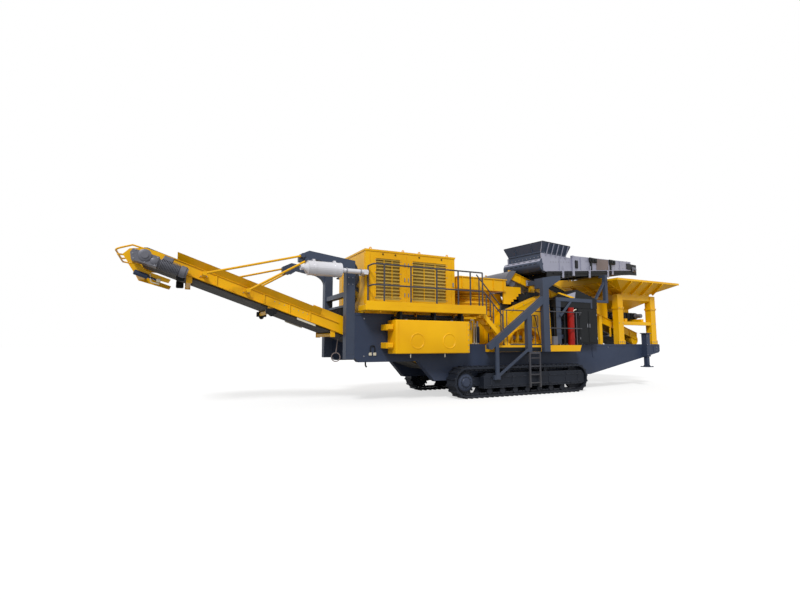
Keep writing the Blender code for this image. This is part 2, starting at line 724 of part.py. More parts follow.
def build_discharge():
    """Long conveyor that leaves the machine at the tail."""
    head = (DISCHARGE_HEAD_X, discharge_head_z)
    knee = (DISCHARGE_KNEE_X, DISCHARGE_LOW_Z)
    tail = (DISCHARGE_TAIL_X, DISCHARGE_LOW_Z)
    path = [head, knee, tail]
    half = discharge_half
    inside = half - WALL_THICK
    belt_half = inside - 0.03
    belt = plate(belt_loop(path, DISCHARGE_DRUM + SEAT + BELT_THICK), (-belt_half, belt_half),
                 holes=[belt_loop(path, DISCHARGE_DRUM + SEAT)])
    node("discharge_belt", belt, BELT)

    low, high = DISCHARGE_WALL
    extras = [cylinder(DISCHARGE_DRUM, (tail[0], -inside - 0.02, tail[1]), (tail[0], inside + 0.02, tail[1]), 24)]
    cheek_x = head[0] + CHEEK_RIGHT
    cheek = [
        (cheek_x, belt_height(cheek_x) + low + 0.01), (head[0] - 0.32, head[1] - 0.20),
        (head[0] + CHEEK_LEFT, head[1] - 0.04), (head[0] - 0.30, head[1] + 0.09), (head[0], head[1] + 0.13),
        (cheek_x, belt_height(cheek_x) + high - 0.01)]
    high_wall = [
        (x, belt_height(x) + lift) for x, lift in (
            (HIGH_WALL_LEFT, 0.05), (HIGH_WALL_RIGHT, 0.05), (HIGH_WALL_RIGHT, HIGH_WALL), (HIGH_WALL_LEFT, HIGH_WALL))]
    wings = [(x, belt_height(x)) for x in (WING_LEFT, WING_RIGHT)]
    pivot_x = CHASSIS_LEFT + 0.25
    pivot_z = belt_height(pivot_x)
    roller_drop = DISCHARGE_DRUM + BELT_THICK + RETURN_ROLLER_RADIUS + 0.015
    for side in (-1, 1):
        extras.append(plate(cheek, (side * (inside + 0.002), side * (half - 0.002))))
        extras.append(plate(high_wall, (side * (inside + 0.004), side * (half - 0.004))))
        extras.append(cylinder(0.06, (pivot_x, side * (half - 0.03), pivot_z),
                               (pivot_x, side * (beam_inner - SEAT), pivot_z), 16))
        foot = side * (half - WALL_THICK / 2)
        tip = side * (half + WING_FLARE)
        skin = side * (WALL_THICK / 2 - 0.006)
        profile = [(foot - skin, high - 0.03), (foot + skin, high - 0.03),
                   (tip, high + WING_RISE), (tip - side * 0.03, high + WING_RISE)]
        extras.append(sweep(profile, wings))
        for x in RETURN_ROLLERS:
            centre_z = belt_height(x) - roller_drop
            extras.append(box((x - 0.06, x + 0.06), (side * (inside + 0.01), side * (half - 0.01)),
                              (centre_z - 0.06, belt_height(x) + low + 0.05)))
    for x in RETURN_ROLLERS:
        centre_z = belt_height(x) - roller_drop
        extras.append(cylinder(RETURN_ROLLER_RADIUS, (x, -inside - 0.015, centre_z),
                               (x, inside + 0.015, centre_z), 12))
    rail_y = half - WALL_THICK / 2
    hoop_x = machine_left + HOOP_RADIUS
    hoop = [(head[0] + 0.07, -rail_y, head[1] + 0.08), (head[0] - 0.25, -rail_y, head[1] + 0.17)]
    hoop += bend((head[0] - 0.25, -rail_y, head[1] + 0.17), (hoop_x, -rail_y, head[1] + 0.06),
                 (hoop_x, 0, head[1] + 0.06), 0.15)
    hoop += [(x, -y, z) for x, y, z in reversed(hoop)]
    extras.append(tube(hoop, HOOP_RADIUS))
    walls = [(cheek_x - 0.15, belt_height(cheek_x - 0.15)), knee, (tail[0] + 0.10, tail[1])]
    clear = DISCHARGE_DRUM + 0.05
    bed_start = head[0] + clear
    bed = [(bed_start, belt_height(bed_start)), knee, (tail[0] - clear, tail[1])]
    node("discharge_frame", trough(walls, bed, half, DISCHARGE_WALL, DISCHARGE_DRUM - SEAT, extras), YELLOW)
    drum_half = inside - SEAT
    drum = cylinder(DISCHARGE_DRUM, (head[0], -drum_half, head[1]), (head[0], drum_half, head[1]), 24)
    node("discharge_head_drum", drum, TRACK_STEEL)
    build_drive(head, -half - SEAT)


def build_drive(head, face):
    """Gearbox and motor on the near side of the head drum, in line with the slope."""
    case_depth = 0.29
    outline = [
        (head[0] + x, head[1] + z) for x, z in
        ((-0.265, -0.043), (-0.241, -0.185), (0.211, -0.314), (0.274, -0.097), (-0.218, 0.045))]
    gearbox = plate(outline, (face, face - case_depth))
    motor_y = face - case_depth / 2
    motor_radius = 0.095
    start = Vector((head[0] + 0.20, motor_y, head[1] - 0.19))
    end = Vector((head[0] + 0.78, motor_y, head[1] - 0.38))
    motor = cylinder(motor_radius, start, end, 20)
    cover = cylinder(motor_radius + 0.012, start.lerp(end, 0.86), start.lerp(end, 1.04), 20)
    boss = cylinder(0.07, (head[0], face - case_depth + 0.01, head[1] - 0.08),
                    (head[0], face - case_depth - 0.05, head[1] - 0.08), 20)
    node("discharge_drive", combine(gearbox, [motor, cover, boss]), GEAR_GREY)


build_discharge()


def build_ties():
    """Slanting rods from the gantry arms to the sides of the discharge conveyor."""
    for label, side in SIDES:
        plane = side * (chassis_half + SEAT + EYE_THICK / 2)
        ends = (
            ("upper", (arm_tip_x + 0.08, arm_tip_z + 0.06), ROD_LOW_UPPER),
            ("lower", (arm_tip_x + 0.18, arm_tip_z - 0.05), ROD_LOW_LOWER))
        for name, (top_x, top_z), low_x in ends:
            low_z = belt_height(low_x) + sum(DISCHARGE_WALL) / 2
            rod = cylinder(ROD_RADIUS, (top_x, plane, top_z), (low_x, plane, low_z), 10)
            top_eye = cylinder(EYE_RADIUS, (top_x, plane - EYE_THICK / 2, top_z),
                               (top_x, plane + EYE_THICK / 2, top_z), 16)
            low_eye = cylinder(EYE_RADIUS, (low_x, plane + side * EYE_THICK / 2, low_z),
                               (low_x, side * (discharge_half + SEAT), low_z), 16)
            node(f"tie_rod_{name}_{label}", combine(rod, [top_eye, low_eye]), YELLOW)


build_ties()


def build_muffler():
    """Exhaust silencer beside the near arm, with its saddles and the pipe to the engine."""
    radius = MUFFLER_RADIUS
    y = -chassis_half - SEAT - radius
    z = ARM_BASE_Z - MUFFLER_DROP
    right = CHASSIS_LEFT - POST_SIZE - MUFFLER_RIGHT_GAP
    left = arm_tip_x + MUFFLER_LEFT_GAP
    pipe_radius = MUFFLER_PIPE
    body = cylinder(radius, (left, y, z), (right, y, z), 24)
    cone = cylinder(pipe_radius + 0.003, (left - 0.08, y, z), (left + 0.001, y, z), 24, radius - 0.02)
    outlet = cylinder(pipe_radius, (left - 0.13, y, z), (left - 0.07, y, z), 20)
    pipe = cylinder(pipe_radius, (right - 0.01, y, z), (HOUSE_LEFT - SEAT, y, z), 20)
    elbow = box((HOUSE_LEFT - 2 * pipe_radius, HOUSE_LEFT - ROOF_LIP - SEAT), (y - 0.06, -chassis_half + 0.12),
                (z - 0.06, z + 0.06))
    saddles = [
        box((x - 0.03, x + 0.03), (-chassis_half - SEAT, y), (z, ARM_BASE_Z + 0.12))
        for x in (left + 0.16, right - 0.16)]
    node("muffler", combine(body, [cone, outlet, pipe, elbow, *saddles]), SILVER)


build_muffler()


def build_power_house():
    """Engine housing with its roof, louvres and the fan ring at its end."""
    body = box((HOUSE_LEFT, HOUSE_RIGHT), (-chassis_half, chassis_half), (SHELF_TOP + SEAT, HOUSE_TOP - 0.01))
    lip_half = chassis_half + ROOF_LIP
    added = [box((HOUSE_LEFT - ROOF_LIP, HOUSE_RIGHT + ROOF_LIP), (-lip_half, lip_half),
                 (HOUSE_TOP - ROOF_THICK, HOUSE_TOP))]
    rail_out, rail_high = BASE_RAIL
    cuts = []
    for side in (-1, 1):
        added.append(box((HOUSE_LEFT + 0.01, HOUSE_RIGHT - 0.01),
                         (side * (chassis_half - 0.05), side * (chassis_half + rail_out)),
                         (WALK_TOP + SEAT, WALK_TOP + rail_high)))
        for left, right in LOUVRES:
            cuts.append(box((left, right), (side * (chassis_half - LOUVRE_DEPTH), side * (chassis_half + 0.1)),
                            (LOUVRE_LOW, LOUVRE_HIGH)))
    fan_z = (SHELF_TOP + HOUSE_TOP) / 2
    cuts.append(cylinder(FAN_RADIUS, (HOUSE_LEFT - 0.1, 0, fan_z), (HOUSE_LEFT + 0.10, 0, fan_z), 32))
    node("power_house", combine(combine(body, added), cuts, "DIFFERENCE"), YELLOW)
    for label, side in SIDES:
        for number, (left, right) in enumerate(LOUVRES, 1):
            node(f"louvre_{number}_{label}", louvre(left, right, side), OLIVE)


def louvre(left, right, side):
    """Grille of sloping slats in a frame, set in its recess."""
    left, right = left + SEAT, right - SEAT
    low, high = LOUVRE_LOW + SEAT, LOUVRE_HIGH - SEAT
    back = side * (chassis_half - LOUVRE_DEPTH + SEAT)
    front = side * chassis_half
    border = 0.035
    pitch = (high - low - 2 * border) / SLAT_COUNT
    profile = [(back, low), (front, low), (front, low + border)]
    for i in range(SLAT_COUNT):
        base = low + border + i * pitch
        profile.append((back + side * 0.012, base + pitch * 0.55))
        profile.append((front - side * 0.004, base + pitch * 0.30))
        profile.append((front - side * 0.004, base + pitch * 0.45))
        profile.append((back + side * 0.012, base + pitch * 0.90))
    profile += [(front, high - border), (front, high), (back, high)]
    return sweep(profile, [(left, 0), (right, 0)])


build_power_house()


def build_side_gear():
    """Walkways, handrails and tanks on both flanks."""
    rail_y = HALF_WIDTH - RAIL_INSET
    inner_y = chassis_half + RAIL_INSET + RAIL_RADIUS
    for label, side in SIDES:
        walk = box((WALK_LEFT, WALK_RIGHT), (side * (chassis_half + SEAT), side * HALF_WIDTH),
                   (WALK_BOTTOM, WALK_TOP), 0.01)
        node(f"walkway_{label}", walk, YELLOW)
        tank = box((TANK_LEFT, TANK_RIGHT), (side * (chassis_half + SEAT), side * HALF_WIDTH),
                   (TANK_BOTTOM, TANK_TOP), 0.025)
        node(f"side_tank_{label}", tank, YELLOW)
        rails = []
        for height in (RAIL_TOP, RAIL_MID):
            inner = (RAIL_LEFT, side * inner_y, height)
            corner = (RAIL_LEFT, side * rail_y, height)
            end = (RAIL_POSTS[-1], side * rail_y, height)
            rails.append(tube([inner, *bend(inner, corner, end, RAIL_BEND), end], RAIL_RADIUS))
        places = [(RAIL_LEFT, inner_y)] + [(x, rail_y) for x in RAIL_POSTS]
        posts = [
            cylinder(RAIL_RADIUS, (x, side * y, WALK_TOP + SEAT), (x, side * y, RAIL_TOP), 6)
            for x, y in places]
        node(f"handrail_{label}", combine(posts[0], posts[1:] + rails), RAIL_GREY)


build_side_gear()


def build_stair():
    """Stair from the near walkway down to the service deck, with a rail on either side."""
    outer = -deck_face + 0.01
    inner = -chassis_half - 0.02
    start = WALK_RIGHT + SEAT
    high = WALK_TOP - STAIR_DROP
    floor = DECK_TOP + SEAT

    def top_edge(x):
        return high - STAIR_SLOPE * (x - start)

    foot = start + (high - floor) / STAIR_SLOPE
    outline = [
        (start, high), (start, high - STRINGER_DEPTH),
        (foot - STRINGER_DEPTH / STAIR_SLOPE, floor), (foot, floor)]
    shapes = [
        plate(outline, (outer, outer + STRINGER_THICK)), plate(outline, (inner - STRINGER_THICK, inner))]
    rise = (WALK_TOP - DECK_TOP) / (STAIR_STEPS + 1)
    for i in range(1, STAIR_STEPS + 1):
        z = WALK_TOP - i * rise
        x = start + (high - z) / STAIR_SLOPE
        shapes.append(box((x - 0.11, x + 0.11), (outer + STRINGER_THICK / 2, inner - STRINGER_THICK / 2),
                          (z - 0.04, z - 0.01)))
    node("access_stair", combine(shapes[0], shapes[1:]), YELLOW)

    radius = STAIR_RAIL_RADIUS
    rails = (
        ("outer", outer + STRINGER_THICK / 2, 0.58, (-1.19, -0.945, -0.62)),
        ("inner", inner - STRINGER_THICK / 2, 1.10, (-1.19, -0.80, -0.42)))
    for label, y, lift, posts in rails:
        ends = (posts[0] - 0.09, posts[-1] + 0.02)
        rail = tube([(x, y, top_edge(x) + lift) for x in ends], radius)
        uprights = [
            cylinder(radius, (x, y, top_edge(x - radius * cos(pi / 6)) + SEAT), (x, y, top_edge(x) + lift), 6)
            for x in posts]
        node(f"stair_rail_{label}", combine(rail, uprights), RAIL_GREY)


build_stair()


def build_crusher():
    """Cone crusher: main frame, bowl with ribs and the feed box on top."""
    centre = (CRUSHER_X, 0, 0)
    radius = beam_inner - CRUSHER_CLEAR
    waist = radius - 0.12
    base = turned([
        (0, CRUSHER_BASE_Z), (radius, CRUSHER_BASE_Z), (radius, CRUSHER_BASE_Z + 0.10),
        (waist, CRUSHER_BASE_Z + 0.14), (waist, CRUSHER_SHOULDER_Z - 0.18),
        (radius, CRUSHER_SHOULDER_Z - 0.10), (radius, CRUSHER_SHOULDER_Z), (0, CRUSHER_SHOULDER_Z)], centre, 28)
    additions = []
    rib_count = 8
    for i in range(rib_count):
        rib = box((waist / 2, radius - 0.02), (-0.02, 0.02), (CRUSHER_BASE_Z + 0.05, CRUSHER_SHOULDER_Z - 0.05))
        rib.transform(Matrix.Translation(centre) @ Matrix.Rotation(2 * pi * (i + 0.5) / rib_count, 4, "Z"))
        additions.append(rib)
    foot_half = 0.12
    for hand in (-1, 1):
        foot_x = CRUSHER_X + hand * radius * 0.7
        additions.append(box((foot_x - foot_half, foot_x + foot_half), (-beam_inner + SEAT, beam_inner - SEAT),
                             (CRUSHER_BASE_Z - 0.13, CRUSHER_BASE_Z + 0.02)))
    node("crusher_frame", combine(base, additions), YELLOW)
    seat_z = CRUSHER_SHOULDER_Z + SEAT
    bowl = turned([
        (0, seat_z), (radius + 0.05, seat_z), (radius + 0.05, seat_z + 0.14), (radius - 0.04, seat_z + 0.14),
        (radius - 0.04, seat_z + 0.30), (radius, seat_z + 0.32), (radius, seat_z + 0.38), (radius - 0.06, seat_z + 0.42),
        (radius - 0.10, BOWL_TOP_Z - 0.12), (radius + 0.02, BOWL_TOP_Z - 0.09), (radius + 0.02, BOWL_TOP_Z),
        (0, BOWL_TOP_Z)], centre, 28)
    node("crusher_bowl", bowl, YELLOW)
    half = (FEED_BOX_RIGHT - FEED_BOX_LEFT) / 2
    low = BOWL_TOP_Z + SEAT
    floor = 0.05
    tray = box((FEED_BOX_LEFT, FEED_BOX_RIGHT), (-half, half), (low, FEED_BOX_TOP))
    inside = box((FEED_BOX_LEFT + FEED_BOX_WALL, FEED_BOX_RIGHT - FEED_BOX_WALL),
                 (-half + FEED_BOX_WALL, half - FEED_BOX_WALL), (low + floor, FEED_BOX_TOP + 1))
    node("feed_box", combine(tray, [inside], "DIFFERENCE"), YELLOW)


build_crusher()


def return_edge(x):
    """Y and Z of the near lower edge of the return conveyor, above one X."""
    run = (x - RETURN_X + BOOT_FLARE * sin(RETURN_TURN)) / cos(RETURN_TURN)
    y = RETURN_Y + run * sin(RETURN_TURN) + BOOT_FLARE * cos(RETURN_TURN)
    return y, UNDER_Z + UNDER_SLOPE * run


def build_deck():
    """Service decks and the guard over the crusher drive."""
    for label, side in SIDES:
        deck = plate(
            [(DECK_LEFT, DECK_BOTTOM), (DECK_RIGHT - 0.08, DECK_BOTTOM), (DECK_RIGHT, DECK_TOP),
             (DECK_LEFT, DECK_TOP)],
            (side * (chassis_half + SEAT), side * deck_face))
        node(f"service_deck_{label}", deck, YELLOW)
    foot = CHASSIS_TOP + SEAT
    guard = plate(
        [(GUARD_LEFT, foot), *arc((ARCH_X, foot), (ARCH_HALF, ARCH_TOP - foot), 180, 0, 10),
         (GUARD_RIGHT, foot), (GUARD_RIGHT - 0.06, GUARD_TOP - 0.12), (GUARD_RIGHT - 0.44, GUARD_TOP),
         (GUARD_LEFT + 0.52, GUARD_TOP - 0.465), (GUARD_LEFT + 0.29, GUARD_TOP - 0.535),
         (GUARD_LEFT + 0.015, GUARD_TOP - 0.955)],
        (-chassis_half, -chassis_half + GUARD_THICK))
    node("drive_guard", guard, YELLOW)


def build_stand():
    """Stand of the return conveyor, with its brace and the leg down to the track frame."""
    post_y = (-HALF_WIDTH, -deck_face - SEAT)
    slim_y = (-HALF_WIDTH, -track_face - LADDER_GAP)
    half = STAND_POST_SIZE / 2
    post_x = (STAND_POST_X - half, STAND_POST_X + half)
    tall = box(post_x, post_y, (DECK_BOTTOM, STAND_TOP))
    rise = (BRACE_HEAD_Z - BRACE_FOOT_Z - BRACE_DEPTH / 2) / (STAND_POST_X - BRACE_FOOT_X)
    brace = plate(
        [(BRACE_FOOT_X, BRACE_FOOT_Z), (BRACE_FOOT_X + 0.12, BRACE_FOOT_Z - 0.02),
         (STAND_POST_X, BRACE_HEAD_Z - BRACE_DEPTH), (STAND_POST_X, BRACE_HEAD_Z),
         (BRACE_FOOT_X, BRACE_FOOT_Z + BRACE_DEPTH / 2)],
        (post_y[0] + 0.005, post_y[1] - 0.005))
    short_half = STAND_SHORT_SIZE / 2
    short_top = BRACE_FOOT_Z + rise * (STAND_SHORT_X - BRACE_FOOT_X)
    short = box((STAND_SHORT_X - short_half, STAND_SHORT_X + short_half), post_y, (DECK_BOTTOM, short_top))
    leg_mid = sum(STAND_LEG) / 2
    leg = box(STAND_LEG, slim_y, (STAND_LEG_FOOT, BRACE_FOOT_Z + rise * (leg_mid - BRACE_FOOT_X)))
    frame_face = -track_middle - TRACK_FRAME_WIDTH / 2
    shoe = box((STAND_LEG[0] - 0.04, STAND_LEG[1] + 0.04), (slim_y[0] + 0.01, frame_face - SEAT),
               (STAND_LEG_FOOT - 0.02, STAND_LEG_FOOT + 0.10))
    stay = plate(
        [(STAND_LEG[1] - 0.02, STAND_LEG_FOOT + 0.04), (STAND_SHORT_X, DECK_BOTTOM + 0.06),
         (STAND_SHORT_X, DECK_BOTTOM + 0.14), (STAND_LEG[1] - 0.02, STAND_LEG_FOOT + 0.12)],
        (slim_y[0] + 0.005, slim_y[1] - 0.005))
    left_y, left_z = return_edge(RETURN_X + UNDER_LEFT)
    right_z = return_edge(STAND_BRACKET_RIGHT)[1]
    bracket = plate(
        [(post_x[0], STAND_TOP - 0.15), (post_x[1], STAND_TOP - 0.15), (STAND_BRACKET_RIGHT, right_z - 0.12),
         (STAND_BRACKET_RIGHT, right_z - SEAT), (RETURN_X + UNDER_LEFT, left_z - SEAT), (post_x[0], left_z - 0.08)],
        (post_y[0] + 0.002, left_y + 0.12))
    beam = box((post_x[0] + 0.02, post_x[1] - 0.02), (post_y[0] + 0.004, STAND_BEAM_INNER),
               (STAND_TOP - 0.02, STAND_TOP + 0.10))
    node("return_stand", combine(tall, [brace, short, leg, shoe, stay, bracket, beam]), NEAR_BLACK)


def build_ladder():
    """Ladder from the ground side up to the service deck."""
    ladder_y = (-HALF_WIDTH + LADDER_GAP, -track_face - LADDER_GAP)
    rail_y = sum(ladder_y) / 2
    stile_half = 0.02
    stiles = [
        box((x - stile_half, x + stile_half), ladder_y, (LADDER_BOTTOM, DECK_BOTTOM - SEAT))
        for x in (LADDER_LEFT, LADDER_RIGHT)]
    step = (DECK_BOTTOM - LADDER_BOTTOM) / (RUNG_COUNT + 0.3)
    rungs = [
        cylinder(0.016, (LADDER_LEFT, rail_y, LADDER_BOTTOM + step * (i + 0.5)),
                 (LADDER_RIGHT, rail_y, LADDER_BOTTOM + step * (i + 0.5)), 8)
        for i in range(RUNG_COUNT)]
    hook = box((LADDER_LEFT - stile_half, LADDER_RIGHT + stile_half), (ladder_y[0] + 0.005, -deck_face + 0.06),
               (DECK_BOTTOM - 0.06, DECK_BOTTOM - SEAT))
    node("ladder", combine(stiles[0], [stiles[1], *rungs, hook]), RAIL_GREY)


build_deck()
build_stand()
build_ladder()


def build_cabinet():
    """Control cabinet, hood and the red pressure vessel on the near side."""
    cabinet = box((CABINET_LEFT, CABINET_RIGHT), (-cabinet_face, -CABINET_BACK),
                  (CHASSIS_TOP + SEAT, CABINET_TOP), 0.015)
    node("control_cabinet", cabinet, NEAR_BLACK)
    low = CABINET_TOP + SEAT
    hood = plate(
        [(HOOD_LEFT, low), (CABINET_RIGHT, low), (CABINET_RIGHT, HOOD_RIGHT_Z),
         (HOOD_PEAK_X, HOOD_PEAK_Z), (HOOD_LEFT, HOOD_LEFT_Z)], (-cabinet_face, -CABINET_BACK + 0.05))
    leg = box((HOOD_LEFT + 0.001, HOOD_LEFT + HOOD_LEG), (-cabinet_face + 0.001, -cabinet_face + HOOD_LEG),
              (DECK_TOP + SEAT, low + 0.05))
    node("cabinet_hood", combine(hood, [leg]), NEAR_BLACK)
    vessel_y = -cabinet_face + 0.02
    vessel = cylinder(RED_RADIUS, (RED_X, vessel_y, DECK_TOP + SEAT), (RED_X, vessel_y, CABINET_TOP), 20)
    node("red_vessel", vessel, RED)


build_cabinet()


def build_feed_conveyor():
    """Conveyor that lifts stone from the feeder to the crusher."""
    head = (FEED_HEAD_X, FEED_HEAD_Z)
    tail = (FEED_TAIL_X, FEED_TAIL_Z)
    slope = (tail[1] - head[1]) / (tail[0] - head[0])

    def line(x, lift=0.0):
        return (x, head[1] + slope * (x - head[0]) + lift)

    half = feed_half
    inside = half - WALL_THICK
    belt_half = inside - 0.03
    belt = plate(belt_loop([head, tail], FEED_DRUM + SEAT + BELT_THICK), (-belt_half, belt_half),
                 holes=[belt_loop([head, tail], FEED_DRUM + SEAT)])
    node("feed_belt", belt, BELT)
    extras = [cylinder(FEED_DRUM, (tail[0], -inside - 0.02, tail[1]), (tail[0], inside + 0.02, tail[1]), 24)]
    skirt = [line(SKIRT_LEFT, FEED_WALL[1] - 0.05), line(SKIRT_RIGHT, FEED_WALL[1] - 0.05),
             (SKIRT_RIGHT, SKIRT_TOP), (SKIRT_LEFT, SKIRT_TOP)]
    bar = STRUT_SIZE
    foot = (CHASSIS_TOP - 0.31, CHASSIS_TOP - 0.11)
    for side in (-1, 1):
        extras.append(plate(skirt, (side * (inside + 0.01), side * (half - 0.01))))
        for x in STRUTS:
            top = line(x + bar)[1] + FEED_WALL[1] - 0.05
            extras.append(box((x, x + bar), (side * (half - 0.01), side * (half + STRUT_OUT)), (foot[0] - 0.03, top)))
            extras.append(box((x + 0.01, x + bar - 0.01),
                              (side * (half + STRUT_OUT / 2), side * (beam_inner - SEAT)), foot))
    clear = FEED_DRUM + 0.05
    walls = [line(head[0] - 0.12), line(tail[0] + 0.12)]
    bed = [line(head[0] + clear), line(tail[0] - clear)]
    node("feed_conveyor_frame", trough(walls, bed, half, FEED_WALL, FEED_DRUM - SEAT, extras), YELLOW)
    drum_half = inside - SEAT
    drum = cylinder(FEED_DRUM, (head[0], -drum_half, head[1]), (head[0], drum_half, head[1]), 24)
    node("feed_head_drum", drum, GEAR_GREY)


build_feed_conveyor()


def corners_of(outline):
    """Four corners of an X range and a Y range, anticlockwise from the left near one."""
    x, y = outline
    return [Vector(place) for place in ((x[0], y[0], 0), (x[1], y[0], 0), (x[1], y[1], 0), (x[0], y[1], 0))]


def narrowed(outline, step):
    """X range and Y range drawn in by one step on every side."""
    return tuple((low + step, high - step) for low, high in outline)


def hopper_shell(base, rim, heights, lip, thickness):
    """Four-sided funnel with an upright band at its foot and a flange round its rim, open above and below.

    Heights are the foot, the top of the band and the rim; the wall grows inwards from the outline.
    """
    foot, band_top, rim_z = heights
    wide, high = lip
    neck = narrowed(rim, wide)
    levels = [(base, foot), (base, band_top), (neck, rim_z - high)]
    if wide:
        levels.append((rim, rim_z - high))
    levels.append((rim, rim_z))
    bm = bmesh.new()
    rings = []
    for outline, z in levels:
        rings.append([bm.verts.new((corner.x, corner.y, z)) for corner in corners_of(outline)])
    for low, up in zip(rings, rings[1:]):
        for i in range(4):
            j = (i + 1) % 4
            bm.faces.new((low[i], low[j], up[j], up[i]))
    bm.normal_update()
    bmesh.ops.solidify(bm, geom=bm.faces, thickness=thickness)
    bmesh.ops.recalc_face_normals(bm, faces=bm.faces)
    return bm


def hopper_side(shell, base, neck, number):
    """One wall of the hopper, cut free along the mitres at its two corners."""
    bm = shell.copy()
    feet, tops = corners_of(base), corners_of(neck)
    middle = sum(feet, Vector()) / len(feet)
    outward = (feet[number] + feet[(number + 1) % 4]) / 2 - middle
    bmesh.ops.bisect_plane(
        bm, geom=bm.verts[:] + bm.edges[:] + bm.faces[:], plane_co=middle, plane_no=outward, clear_inner=True)
    for corner, keep in ((number, 1), ((number + 1) % 4, -1)):
        line = tops[corner] - feet[corner]
        normal = Vector((line.y, -line.x, 0)).normalized() * keep
        cut = bmesh.ops.bisect_plane(
            bm, geom=bm.verts[:] + bm.edges[:] + bm.faces[:], plane_co=feet[corner] - normal * SEAT / 2,
            plane_no=normal, clear_outer=True)
        edges = [item for item in cut["geom_cut"] if isinstance(item, bmesh.types.BMEdge)]
        bmesh.ops.contextual_create(bm, geom=edges)
    return to_mesh(bm)


def build_hopper():
    """Feed hopper, its stand, the chute below it and the feeder."""
    base_x = (LEG_LEFT_X + LEG_SIZE / 2 + SEAT, LEG_RIGHT_X - LEG_SIZE / 2 - SEAT)
    inset = HOPPER_WALL + SEAT
    base = ((base_x[0] + SEAT, base_x[1] - SEAT), (-chassis_half + inset, chassis_half - inset))
    rim = ((RIM_LEFT, RIM_RIGHT), (-RIM_HALF, RIM_HALF))
    neck = narrowed(rim, RIM_LIP[0])
    shell = hopper_shell(base, rim, (BAND_BOTTOM, BAND_TOP, RIM_Z), RIM_LIP, HOPPER_WALL)
    for number, label in enumerate(("near", "right", "far", "left")):
        wall = hopper_side(shell, base, neck, number)
        node(f"hopper_wall_{label}", combine(wall, hopper_ribs(base, neck, label)), YELLOW)
    shell.free()
    build_hopper_stand()
    feeder = box((FEEDER_LEFT, FEEDER_RIGHT), (-feeder_half, feeder_half), (FEEDER_BOTTOM, FEEDER_TOP), 0.03)
    node("feeder", feeder, NEAR_BLACK)
    foot = FEEDER_TOP + SEAT
    chute = hopper_shell(
        ((CHUTE_LEFT, CHUTE_RIGHT), (-CHUTE_HALF, CHUTE_HALF)), base,
        (foot, foot + CHUTE_BAND, BAND_BOTTOM - SEAT), (0, 0.05), HOPPER_WALL)
    node("hopper_chute", to_mesh(chute), YELLOW)


def hopper_ribs(base, neck, label):
    """Upright ribs on the outside of one sloping wall, each starting clear of the corners."""
    low, high = BAND_TOP, RIM_Z - RIM_LIP[1]
    half = RIB_THICK / 2
    if label in ("near", "far"):
        side = -1 if label == "near" else 1
        foot = side * base[1][1]
        lean = side * (neck[1][1] - base[1][1]) / (high - low)
        ribs = []
        for x in SIDE_RIBS:
            left_share = (base[0][0] - x + RIB_CLEAR) / (base[0][0] - neck[0][0])
            right_share = (x + RIB_CLEAR - base[0][1]) / (neck[0][1] - base[0][1])
            rise = max(0, left_share, right_share) * (high - low)
            wall_y = foot + lean * rise
            depth = (wall_y - side * 0.005, wall_y + side * RIB_DEPTH)
            ribs.append(leaning_box((x - half, x + half), depth, (low + rise, high + 0.002), lean_y=lean))
        return ribs
    end, side = (0, -1) if label == "left" else (1, 1)
    foot = base[0][end]
    lean = (neck[0][end] - foot) / (high - low)
    depth = (foot - side * 0.005, foot + side * RIB_DEPTH)
    return [leaning_box(depth, (y - half, y + half), (low, high + 0.002), lean_x=lean) for y in END_RIBS]


def build_hopper_stand():
    """Four legs on the chassis with their collars, ties and the beams under the feeder."""
    shapes = []
    half = LEG_SIZE / 2
    for side in (-1, 1):
        outer, inner = side * chassis_half, side * (chassis_half - BEAM_WIDTH)
        for x in (LEG_LEFT_X, LEG_RIGHT_X):
            shapes.append(box((x - half, x + half), (outer, inner), (CHASSIS_TOP + SEAT, BAND_TOP - 0.06)))
            shapes.append(box((x - half - COLLAR_OUT, x + half + COLLAR_OUT),
                              (outer + side * COLLAR_OUT, inner - side * COLLAR_OUT), (COLLAR_LOW, COLLAR_HIGH)))
        shapes.append(box((LEG_LEFT_X, LEG_RIGHT_X), (outer - side * 0.02, inner + side * 0.02),
                          (TIE_TOP - TIE_DEPTH, TIE_TOP)))
    across = chassis_half - BEAM_WIDTH / 2
    for x in STAND_BEAMS:
        shapes.append(box((x - 0.06, x + 0.06), (-across, across), (TIE_TOP - 0.02, FEEDER_BOTTOM - SEAT)))
    node("hopper_stand", combine(shapes[0], shapes[1:]), YELLOW)


build_hopper()


def build_jacks():
    """Support legs at the hopper end: a sleeve on the chassis and a leg that slides down."""
    outer = JACK_POST / 2 + SLIDE + JACK_WALL
    bore = JACK_POST / 2 + SLIDE
    half = JACK_POST / 2
    foot_half = JACK_FOOT / 2
    flange = outer + JACK_FLANGE
    for label, side in SIDES:
        y = side * (chassis_half + SEAT + outer)
        sleeve = box((JACK_X - outer, JACK_X + outer), (y - outer, y + outer), (JACK_BOTTOM, JACK_TOP - 0.005))
        cap = box((JACK_X - flange, JACK_X + flange), (y - flange, y + flange), (JACK_TOP - JACK_ROOF, JACK_TOP))
        hollow = box((JACK_X - bore, JACK_X + bore), (y - bore, y + bore), (JACK_BOTTOM - 1, JACK_TOP - JACK_ROOF))
        node(f"jack_sleeve_{label}", combine(combine(sleeve, [cap]), [hollow], "DIFFERENCE"), BLUE_GREY)
        post = box((JACK_X - half, JACK_X + half), (y - half, y + half),
                   (JACK_FOOT_Z + 0.01, JACK_TOP - JACK_ROOF - SEAT))
        foot = box((JACK_X - foot_half, JACK_X + foot_half), (y - foot_half, y + foot_half),
                   (JACK_FOOT_Z, JACK_FOOT_Z + JACK_FOOT_THICK))
        node(f"jack_leg_{label}", combine(post, [foot]), BLUE_GREY)


build_jacks()


